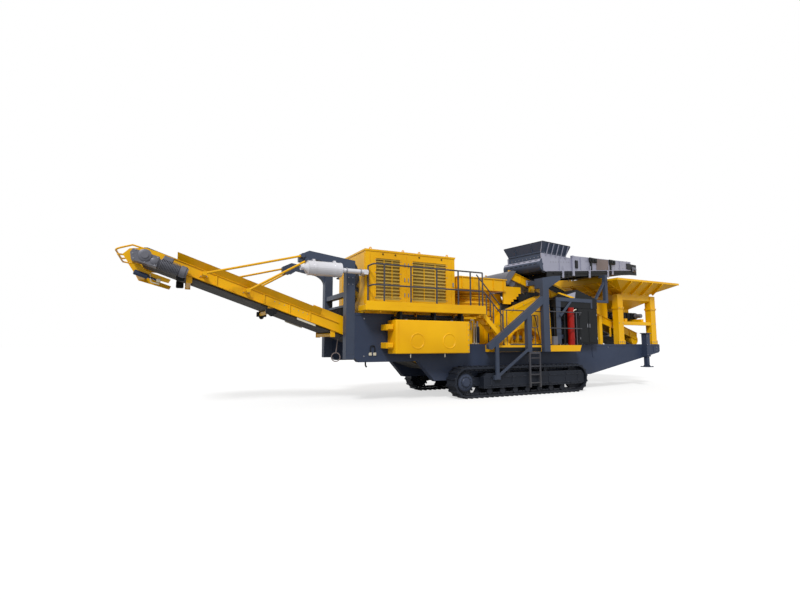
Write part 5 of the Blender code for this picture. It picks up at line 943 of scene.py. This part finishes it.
def buildCabinetParts():
    y, railY = cabinet["face"], cabinet["railY"]
    finishPiece("cabinet_doors", [block(xs, (y - 0.014, y), (1.52, 2.55), 0.006)
                                  for xs in ((2.65, 3.03), (3.07, 3.45))], "blackEnamel")
    # latches and hinges
    shapes = [block(around(x, 0.012), (y - 0.030, y - 0.0135), (2.0, 2.12), 0.004) for x in (3.0, 3.10)]
    shapes += [rod((x, y - 0.016, z - 0.035), (x, y - 0.016, z + 0.035), 0.010, 10)
               for x in (2.66, 3.44) for z in (1.65, 2.42)]
    finishPiece("cabinet_latches", shapes, "boltZinc")
    # frame of the hood: posts, the level bar, and the diagonal brace
    finishPiece("hood_frame", [
        block((1.635, 1.845), (y, y + 0.10), (1.462, 2.615), 0.008),
        block((1.635, 1.845), (y - 0.010, y), (2.6205, 2.92), 0.004),
        block((3.20, 3.27), (y - 0.010, y), (2.6205, 2.92), 0.004),
        block((1.64, 3.27), (y - 0.016, y), (2.81, 2.93), 0.004),
        plateShape([(2.37, 2.87), (2.28, 2.87), (1.76, 2.36), (1.82, 2.30)], (y - 0.030, y - 0.010))],
        "structureEnamel")
    # grey sheet and the yellow rail that lean on the hood
    board = [(2.09, 3.02), (2.52, 3.14), (2.48, 2.935), (2.30, 2.935)]
    rail = [(1.70, 3.06), (1.78, 3.09), (2.46, 2.96), (2.40, 2.935), (2.30, 2.935)]
    finishPiece("hood_board", [plateShape(board, (y - 0.008, y))], "zincPlate")
    finishPiece("hood_rail", [plateShape(rail, (y - 0.014, y - 0.008))], "machineYellow")
    # dark sheet at the back of the open frame: painted shade for the frame's dark inside
    finishPiece("frame_back_painted_shade", [block((1.70, 2.598), (-0.815, -0.80), (1.462, 2.617), 0.003)], "blackEnamel")
    # rails between the tall post and the cabinet
    shapes = [pipeShape([(1.056, -1.40, z), (1.20, railY, z), (2.62, railY, z), (2.62, -1.195, z)], 0.016)
              for z in (2.46, 1.95)]
    shapes.append(rod((2.36, railY, 1.43), (2.36, railY, 2.46), 0.018, 10))
    finishPiece("cabinet_rails", shapes, "railCoat")
    # bundle of steel pipes inside the frame, with its valves
    finishPiece("frame_pipes", [pipeShape(
        [(x, -0.95, 1.43), (x, -0.95, 1.72 + 0.10 * i),
         (x + (0.10 if i % 2 else -0.08), -1.02, 1.95 + 0.09 * i),
         (x, -0.92, 2.30), (x, -0.92, 2.62)], 0.020, 0.08) for i, x in enumerate(cabinet["pipes"])],
                "mouldedRubber")
    finishPiece("frame_valves", [block((1.90, 2.10), (-1.02, -0.90), (2.02, 2.20), 0.02),
                                 block((1.96, 2.16), (-1.06, -0.90), (1.62, 1.76), 0.02)], "chassisEnamel")
    # pipes that climb beside the red vessel
    finishPiece("cabinet_pipes", [
        pipeShape([(2.02, -1.16, 1.43), (2.02, -1.16, 2.40), (2.10, -1.14, 2.62)], 0.022, 0.10),
        pipeShape([(2.10, -1.10, 1.43), (2.10, -1.10, 2.30), (2.16, -1.08, 2.62)], 0.022, 0.10)],
                "mouldedRubber")
    finishPiece("cabinet_white_pipe", [pipeShape(
        [(1.80, -1.17, 1.43), (1.80, -1.17, 1.92), (1.74, -1.17, 2.10), (1.74, -1.17, 2.62)], 0.014, 0.08)],
        "ivoryEnamel")
    # straps of the red vessel, the block of valves on the deck, and the valve on top of the vessel
    finishPiece("vessel_straps",
                [ringShape(0.1055, 0.112, 0.02, (*cabinet["vessel"], z)) for z in (1.62, 2.36)],
                "vesselRed")
    finishPiece("valve_block", [block((1.40, 1.58), (-1.30, -1.20), (1.4305, 1.70), 0.010)], "gearGrey")
    finishPiece("vessel_valve", [pipeShape([(2.29, -1.24, 2.46), (2.33, -1.29, 2.54), (2.42, -1.29, 2.56)],
                                           0.022, 0.04)], "ivoryEnamel")


buildCabinetParts()

feed = {"head": (0.42, 3.45), "tail": (6.20, 1.62), "face": -0.60, "rollers": (1.9, 3.2, 4.9),
        "board": (1.12, 3.60)}


def feedLine(x):
    (x0, z0), (x1, z1) = feed["head"], feed["tail"]
    return z0 + (z1 - z0) * (x - x0) / (x1 - x0)


def buildFeedParts():
    face = feed["face"]
    # ribs of the walls, left out where panels and legs stand, and the flange on top
    shapes = [block(around(x, 0.012), (face, face - 0.025), (feedLine(x) + 0.045, feedLine(x) + 0.275), 0.003)
              for x in spread(0.75, 5.9, 9) if not (1.0 < x < 1.35 or 4.1 < x < 4.9)]
    shapes.append(strip(feedLine, (0.32, 6.30), (0.272, 0.288), (face, face - 0.030)))
    finishPair("feed_wall_ribs", shapes, "machineYellow")
    finishPair("feed_skirt", [strip(feedLine, (1.0, 5.9), (0.225, 0.30), (-0.535, -0.548))], "mouldedRubber")
    # rounded cover over the head drum
    sweep = range(70, 226, 12)
    outer, inner = arcEdge(0.42, 3.46, 0.30, sweep), arcEdge(0.42, 3.46, 0.288, sweep)
    shapes = [plateShape(outer + inner[::-1], (-0.66, 0.66))]
    shapes += [plateShape(outer, (y, y + 0.012)) for y in (-0.672, 0.660)]
    finishPiece("feed_head_cover", shapes, "gearGrey")
    # raised boards over the walls, each with a yellow top bar
    finishPair("feed_board", [strip(feedLine, feed["board"], (0.284, 0.49), (-0.606, -0.626))], "blackEnamel")
    finishPair("feed_board_bar", [strip(feedLine, feed["board"], (0.485, 0.545), (-0.596, -0.650), 0.004)],
               "machineYellow")
    # pale panel with slots on the near wall
    finishPiece("wall_panel", [block((0.96, 1.50), (-0.665, -0.63), (3.31, 3.49), 0.006)], "zincPlate")
    finishPiece("wall_panel_slots", [block(xs, (-0.6665, -0.6645), zs) for xs, zs in (
        ((1.05, 1.15), (3.37, 3.43)), ((1.21, 1.31), (3.37, 3.43)), ((1.38, 1.44), (3.35, 3.45)))],
                "blackEnamel")
    # rollers below the belt, and their hangers
    finishPiece("feed_return_rollers", [
        rod((x, -0.555, feedLine(x) - 0.265), (x, 0.555, feedLine(x) - 0.265), 0.045, 14, bevel=0.006)
        for x in feed["rollers"]], "gearGrey")
    finishPiece("feed_roller_hangers", [
        block(around(x, 0.03), (side * 0.555, side * 0.595), (feedLine(x) - 0.30, feedLine(x) + 0.06), 0.004)
        for x in feed["rollers"] for side in (-1, 1)], "machineYellow")


buildFeedParts()
print("feed conveyor done")

hopper = {
    "rimHalf": 1.415, "rimLeft": 4.295, "rimRight": 7.625, "baseLeft": 5.0756, "baseRight": 6.5944,
    "baseHalf": 0.9697,
    "low": 3.27, "neck": 3.63, "legs": (4.94, 6.73), "sideRibs": (5.00, 5.56, 6.12, 6.68),
    "endRibs": (-0.60, 0, 0.60),
    "ribDepth": 0.10, "ribHalf": 0.020,
}


def buildHopperParts():
    h = hopper
    low, rise = h["low"], h["neck"] - h["low"]
    # pads and bolts of the legs
    finishPair("leg_pads", [block(around(x, 0.17), (nearFace, nearFace - 0.012), (1.462, 1.60), 0.004)
                            for x in h["legs"]], "machineYellow")
    rows = (((-0.11, 0, 0.11), 0.012, 1.54, 0.016), ((-0.10, 0.10), 0.02, 2.735, 0.012),
            ((-0.10, 0.10), 0, 2.20, 0.013))
    finishPair("leg_bolts", [bolt((x + dx, nearFace - out, z), radius) for x in h["legs"]
                             for offsets, out, z, radius in rows for dx in offsets], "boltZinc")

    # a deep pressed rib under a sloping wall, turned outwards from the hopper's middle
    def rib(base, top, share, place, angle):
        foot = Vector((base + (top - base) * share, low + rise * share))
        down = Vector((rise, base - top)).normalized() * h["ribDepth"]
        neck = h["neck"]
        outline = [foot, (top, neck + 0.01), (top + 0.03, neck + 0.01), (top + 0.033, neck - 0.05),
                   foot + down * 0.8]
        return moved(plateShape(outline, around(0, h["ribHalf"]), 0.004),
                     Matrix.Translation(place) @ Matrix.Rotation(angle, 4, "Z"))

    middle = (h["baseLeft"] + h["baseRight"]) / 2
    shapes = [rib(h["baseHalf"], h["rimHalf"], max(h["baseLeft"] - x, x - h["baseRight"], 0), (x, 0, 0),
                  side * pi / 2)
              for x in h["sideRibs"] for side in (-1, 1)]
    for y in h["endRibs"]:
        shapes.append(rib(middle - h["baseLeft"], middle - h["rimLeft"], 0, (middle, y, 0), pi))
        shapes.append(rib(h["baseRight"] - middle, h["rimRight"] - middle, 0, (middle, y, 0), 0))
    finishPiece("hopper_ribs", shapes, "machineYellow")
    # raised board over the tail-side wall, with its flange and braces
    shapes = [block((4.262, 4.275), (0.52, 1.44), (3.6995, 4.02), 0.003),
              block((4.262, 4.275), (-0.90, 0.52), (3.6995, 3.83), 0.003),
              block((4.235, 4.275), (0.52, 1.44), (3.99, 4.03), 0.004)]
    shapes += [block((4.276, 4.32), around(y, 0.008), (3.70, 3.96), 0.002) for y in (0.56, 0.86, 1.15, 1.40)]
    finishPiece("hopper_board", shapes, "machineYellow")

    # bars and uprights under the tail-side wall
    def wallX(z):
        return h["baseLeft"] - (h["baseLeft"] - h["rimLeft"] + 0.005) / rise * (z - low)

    shapes = [rod((wallX(z) - 0.035, -reach, z), (wallX(z) - 0.035, reach, z), 0.028)
              for z, reach in ((3.60, 1.20), (3.42, 1.05))]
    shapes += [rod((wallX(3.64) - 0.02, y, 3.64), (wallX(3.34) - 0.02, y, 3.34), 0.018, 8)
               for y in (-1.0, -0.5, 0, 0.5, 1.0)]
    finishPiece("hopper_bars", shapes, "machineYellow")
    # feeder: side ribs, drum shaft and motor on the near side
    finishPiece("feeder_ribs", [block(around(x, 0.02), (side * 0.55, side * 0.58), (2.40, 2.59), 0.004)
                                for side in (-1, 1) for x in spread(4.98, 6.34, 7)], "blackEnamel")
    finishPiece("feeder_motor", [
        rod((6.30, -0.555, 2.495), (6.30, -0.83, 2.495), 0.075, 20, bevel=0.012),
        rod((6.30, -0.62, 2.495), (6.30, -0.64, 2.495), 0.10, 20, bevel=0.004),
        rod((5.02, -0.555, 2.495), (5.02, -0.64, 2.495), 0.06, 18, bevel=0.008)], "gearGrey")

    # bolts of the wear plates inside, on a wall that runs outwards from its base to the rim
    def linerBolt(base, outward, run, share):
        place = Vector((*base, low)) + (Vector(outward) * run + Vector((0, 0, rise))) * share
        inward = (Vector((0, 0, run)) - Vector(outward) * rise).normalized()
        return bolt(place + inward * 0.030, 0.018, inward)

    walls = [((h["baseLeft"], y), (-1, 0, 0), h["baseLeft"] - h["rimLeft"]) for y in spread(-0.80, 0.80, 6)]
    walls += [((h["baseRight"], y), (1, 0, 0), h["rimRight"] - h["baseRight"])
              for y in spread(-0.80, 0.80, 6)]
    walls += [((x, side * h["baseHalf"]), (0, side, 0), h["rimHalf"] - h["baseHalf"])
              for x in spread(5.2, 6.5, 5) for side in (-1, 1)]
    finishPiece("hopper_liner_bolts", [linerBolt(*wall, share) for wall in walls for share in (0.35, 0.75)],
                "boltZinc")


buildHopperParts()

jack = {"x": 6.08, "y": 1.0963, "outer": 0.096, "bands": (1.06, 1.42, 1.72)}


def buildJackParts():
    x, y, face = jack["x"], jack["y"], jack["y"] + jack["outer"]
    # bands of the sleeve, and lugs on the chassis that are thicker on the far side
    for label, side, lug in (("near", -1, 1.01), ("far", 1, 1.05)):
        shapes = [block(around(x, 0.11), (side * face, side * (face + 0.008)), (z, z + 0.05), 0.002)
                  for z in jack["bands"]]
        shapes += [block((x - 0.20, x - 0.0965), (side * 1.0, side * lug), (z, z + 0.12), 0.003)
                   for z in (1.12, 1.30)]
        finishPiece(f"sleeve_bands_{label}", shapes, "chassisEnamel")
    finishPair("sleeve_bolts", [bolt((x + dx, -face - 0.008, z + 0.025), 0.013)
                                for dx in (-0.075, 0.075) for z in jack["bands"]], "boltZinc")
    # ribs and bolts on the sliding leg's foot
    finishPair("foot_ribs", [moved(plateShape([(0.065, 0), (0.14, 0), (0.065, 0.10)], (-0.008, 0.008)),
                                   Matrix.Translation((x, -y, 0.68)) @ Matrix.Rotation(a, 4, "Z"))
                             for a in turns(4)], "chassisEnamel", "support_leg_{}")
    finishPair("foot_bolts",
               [bolt((x + dx, dy - y, 0.68), 0.012, up) for dx in (-0.12, 0.12) for dy in (-0.12, 0.12)],
               "boltZinc", "support_leg_{}")


buildJackParts()
print("hopper and legs done")

returnLine = {
    "corner": (0.937, -1.421, 0), "turn": 8, "near": 0.10, "middle": 0.775, "left": 0.24, "boot": 1.59,
    "right": 5.32,
    "plateLow": (3.70, 4.205), "plateHigh": (4.349, 4.536), "axle": 3.81, "slope": 0.08,
    "tail": (0.10, 3.90), "tailRadius": 0.20,
}


def plateLow(x):
    (low, high), left = returnLine["plateLow"], returnLine["left"]
    return low + (high - low) * (x - left) / (returnLine["right"] - left)


def plateHigh(x):
    (low, high), left = returnLine["plateHigh"], returnLine["boot"]
    return low + (high - low) * (x - left) / (returnLine["right"] - left)


def buildReturnParts():
    r = returnLine
    matrix = Matrix.Translation(r["corner"]) @ Matrix.Rotation(radians(r["turn"]), 4, "Z")
    one, two = partial(finishPiece, matrix=matrix), partial(finishPair, matrix=matrix, middle=r["middle"])
    face = r["near"]

    def proud(height):
        return (face, face - height)

    # flange along the lower edge, uprights, a broad pale one past the boot, and hangers on the under frame
    shapes = [strip(plateLow, (0.35, 5.28), (0.004, 0.022), proud(0.020)),
              block((1.60, 1.70), proud(0.05), (plateLow(1.65) - 0.16, plateHigh(1.65)), 0.006)]
    shapes += [block(around(x, 0.010), proud(0.022),
                     (plateLow(x) + 0.03, plateHigh(x) - 0.03 if x > 1.6 else 4.23), 0.003)
               for x in (0.95, 2.10, 4.55, 5.20)]
    for x, drop in ((1.10, 0.22), (2.58, 0.24), (3.72, 0.24), (4.02, 0.16)):
        z = plateLow(x)
        shapes.append(block(around(x, 0.045), proud(0.035), (z - drop, z + 0.02), 0.010))
        shapes.append(rod((x - 0.03, face - 0.045, z - drop * 0.9), (x + 0.03, face - 0.045, z + 0.16),
                          0.014, 10))
    two("return_plate_ribs", shapes, "zincPlate")
    shapes = [bolt((x, face, plateLow(x) + 0.30), 0.012) for x in spread(0.50, 1.45, 8)]
    shapes += [bolt((x, face, plateLow(x) + lift), 0.011) for x in spread(1.85, 5.05, 12)
               for lift in (0.08, 0.34)]
    two("return_bolts", shapes, "boltZinc")
    # dark roller brackets at the plates' upper edge, with their stems and rollers
    shapes = [block((1.78, 1.92), proud(0.04), (plateLow(1.8) + 0.10, plateLow(1.8) + 0.36), 0.012),
              block((5.0, 5.30), proud(0.03), (plateLow(5.1) + 0.05, plateHigh(5.2) - 0.08), 0.008),
              rod((1.36, face - 0.02, plateLow(1.36)), (1.36, face - 0.02, 3.47), 0.010, 8)]
    for x, half in ((2.80, 0.22), (4.00, 0.19)):
        top = plateHigh(x)
        shapes.append(block(around(x, half), proud(0.06), (top - 0.17, top - 0.006), 0.02))
        shapes.append(block((x - half * 0.7, x - half * 0.3), proud(0.04), (plateLow(x) + 0.02, top - 0.16),
                            0.008))
        shapes += [rod((x + dx, face - 0.05, top - 0.09), (x + dx, face - 0.085, top - 0.09), 0.045, 14,
                       bevel=0.006)
                   for dx in (-0.09, 0.09)]
    two("return_brackets", shapes, "blackEnamel")
    # primer-brown plate between the brackets, and the dark beam that runs under the plates
    a, b = 3.04, 3.78
    two("return_primer_plate", [plateShape(
        [(a, plateLow(a) + 0.03), (b, plateLow(b) + 0.03), (b, plateHigh(b) - 0.02),
         (a, plateHigh(a) - 0.02)],
        proud(0.008))], "wornPrimer")
    two("return_side_beam", [strip(plateLow, (0.60, 5.20), (-0.075, -0.05), proud(0.03))], "blackEnamel")
    # head: bearing blocks on both plates and the motor beyond the far one
    shapes = []
    for side, y in ((-1, face), (1, 2 * r["middle"] - face)):
        shapes.append(block((5.38, 5.62), (y, y + side * 0.05), (4.16, 4.34), 0.012))
        shapes.append(turnedShape([(0, 0.05), (0.045, 0.05), (0.065, 0.03), (0.065, 0)],
                                  (5.50, y + side * 0.05, 4.25), (0, side, 0), 20))
    one("return_head_bearings", shapes, "gearGrey")
    one("return_motor", [rod((5.50, 1.50, 4.25), (5.50, 1.84, 4.25), 0.095, 20, bevel=0.012),
                         rod((5.50, 1.60, 4.25), (5.50, 1.62, 4.25), 0.12, 20, bevel=0.004)], "gearGrey")
    # rollers under the return run
    levels = [(x, r["axle"] + r["slope"] * x - 0.1775) for x in (1.2, 2.6, 4.0)]
    one("return_rollers", [rod((x, 0.135, z), (x, 1.415, z), 0.034, 14, bevel=0.004) for x, z in levels],
        "gearGrey")
    # boot: rim bar, bolts and the rubber sheet inside
    one("boot_rim", [block(xs, ys, (4.585, 4.619), 0.004) for xs, ys in (
        ((0, 1.42), (0, 0.03)), ((0, 1.42), (1.52, 1.55)), ((0, 0.03), (0.03, 1.52)),
        ((1.39, 1.42), (0.03, 1.52)))],
        "blackEnamel")
    shapes = [bolt((x, 0.10, 4.292), 0.011) for x in spread(0.20, 1.22, 8)]
    shapes += [bolt((0.10, y, 4.16), 0.011, (-1, 0, 0)) for y in spread(0.25, 1.30, 8)]
    one("boot_bolts", shapes, "boltZinc")
    one("boot_skirts", [plateShape([(0.42, 4.10), (1.10, 4.135), (1.10, 4.30), (0.42, 4.30)], (y, y + 0.012))
                        for y in (0.165, 1.373)], "mouldedRubber")
    # pale rods along the ribs of the boot and down its corner: painted highlights on their edges
    shapes = [rod((0.006, 0.02, 4.61), (0.075, 0.13, 4.30), 0.013, 8)]
    for x in [0.1 + 1.22 * (i + 0.7) / 5 for i in range(5)]:
        shapes += [rod((x, 0.055, 4.30), (x, -0.045, 4.585), 0.014, 8),
                   rod((x, 0.058, 4.31), (x, 0.085, 4.20), 0.014, 8)]
    one("boot_bright_edges", shapes, "zincPlate")
    shapes = [plateShape([(0.098, 4.32), (0, 4.575), (0, 4.60), (0.06, 4.32)], around(y, 0.012))
              for y in (0.45, 1.10)]
    shapes.append(block((0.076, 0.0985), (0.12, 1.43), (4.285, 4.325), 0.003))
    one("boot_side_ribs", shapes, "structureEnamel")
    # rounded guard round the tail of the return belt: pale slotted cover above, dark shell below, and cheeks
    (x, z), radius = r["tail"], r["tailRadius"]
    for name, first, last, paint in (("tail_guard_cover", 112, 154, "zincPlate"),
                                     ("tail_guard_shell", 154, 264, "structureEnamel")):
        sweep = spread(first, last, 11)
        outer, inner = arcEdge(x, z, radius, sweep), arcEdge(x, z, radius - 0.010, sweep)
        one(name, [plateShape(outer + inner[::-1], (0.067, 1.483))], paint)
    shapes = [plateShape(arcEdge(x, z, radius, spread(112, 264, 17)), ys)
              for ys in ((0.055, 0.067), (1.483, 1.495))]
    shapes += [block((0.075, 0.10), ys, (3.88, 3.95), 0.003) for ys in ((0.067, 0.0995), (1.4505, 1.483))]
    one("tail_guard_cheeks", shapes, "structureEnamel")
    shapes = []
    for angle, count, half in ((136, 6, 0.055), (176, 7, 0.06)):
        (slotX, slotZ), = arcEdge(x, z, radius, [angle])
        lean = Matrix.Rotation(radians(180 - angle), 4, "Y")
        shapes += [moved(block((-0.0008, 0.0008), (-half, half), (-0.013, 0.013)),
                         Matrix.Translation((slotX, y, slotZ)) @ lean) for y in spread(0.22, 1.34, count)]
    one("tail_guard_slots", shapes, "mouldedRubber")


buildReturnParts()
print("return conveyor done")

studio = {
    "floorBounce": "#A6A6A6", "floorLift": 0.62, "skyStrength": 0.66, "sunStrength": 2.3, "sunSize": 14,
    "sunTilt": (46, 0, -38),
}


def buildStage():
    bm = bmesh.new()
    bmesh.ops.create_grid(bm, x_segments=1, y_segments=1, size=200)
    mesh = bpy.data.meshes.new("floor")
    bm.to_mesh(mesh)
    bm.free()
    floor = bpy.data.objects.new("floor", mesh)
    bpy.context.scene.collection.objects.link(floor)
    made = bpy.data.materials.new("floorPaper")  # matt paper roll, lifted to white where the camera sees it
    made.use_nodes = True
    tree = made.node_tree
    shader = tree.nodes["Principled BSDF"]
    for socket, value in (("Base Color", srgb(studio["floorBounce"])), ("Roughness", 0.9),
                          ("Specular IOR Level", 0.0), ("Emission Color", (1, 1, 1, 1))):
        shader.inputs[socket].default_value = value
    rays = addNode(tree, "LightPath").outputs
    lift = addNode(tree, "Math", {"operation": "MULTIPLY", 1: studio["floorLift"]},
                   {0: rays["Is Camera Ray"]})
    tree.links.new(lift.outputs["Value"], shader.inputs["Emission Strength"])
    mesh.materials.append(made)
    world = bpy.data.worlds.new("studio")
    world.use_nodes = True
    tree = world.node_tree
    sky = tree.nodes["Background"]
    sky.inputs["Strength"].default_value = studio["skyStrength"]
    sky.inputs["Color"].default_value = (1, 1, 1, 1)
    # the sky lights at its own strength, and shows white to the camera, in reflections and through glass
    rays = addNode(tree, "LightPath").outputs
    seen = addNode(tree, "Math", {"operation": "MAXIMUM"},
                   {0: rays["Is Camera Ray"], 1: rays["Is Glossy Ray"]})
    shown = addNode(tree, "Math", {"operation": "MAXIMUM"},
                    {0: seen.outputs["Value"], 1: rays["Is Transmission Ray"]})
    white = addNode(tree, "Background", {"Color": (1, 1, 1, 1), "Strength": 1.0})
    both = addNode(tree, "MixShader", None,
                   {0: shown.outputs["Value"], 1: sky.outputs[0], 2: white.outputs[0]})
    tree.links.new(both.outputs[0], tree.nodes["World Output"].inputs["Surface"])
    bpy.context.scene.world = world
    sun = bpy.data.lights.new("sun", "SUN")
    sun.energy = studio["sunStrength"]
    sun.angle = radians(studio["sunSize"])
    lamp = bpy.data.objects.new("sun", sun)
    lamp.rotation_euler = [radians(a) for a in studio["sunTilt"]]
    bpy.context.scene.collection.objects.link(lamp)


buildStage()
bpy.context.scene.view_settings.view_transform = "Standard"
print("pieces added:", len(pieceNames))
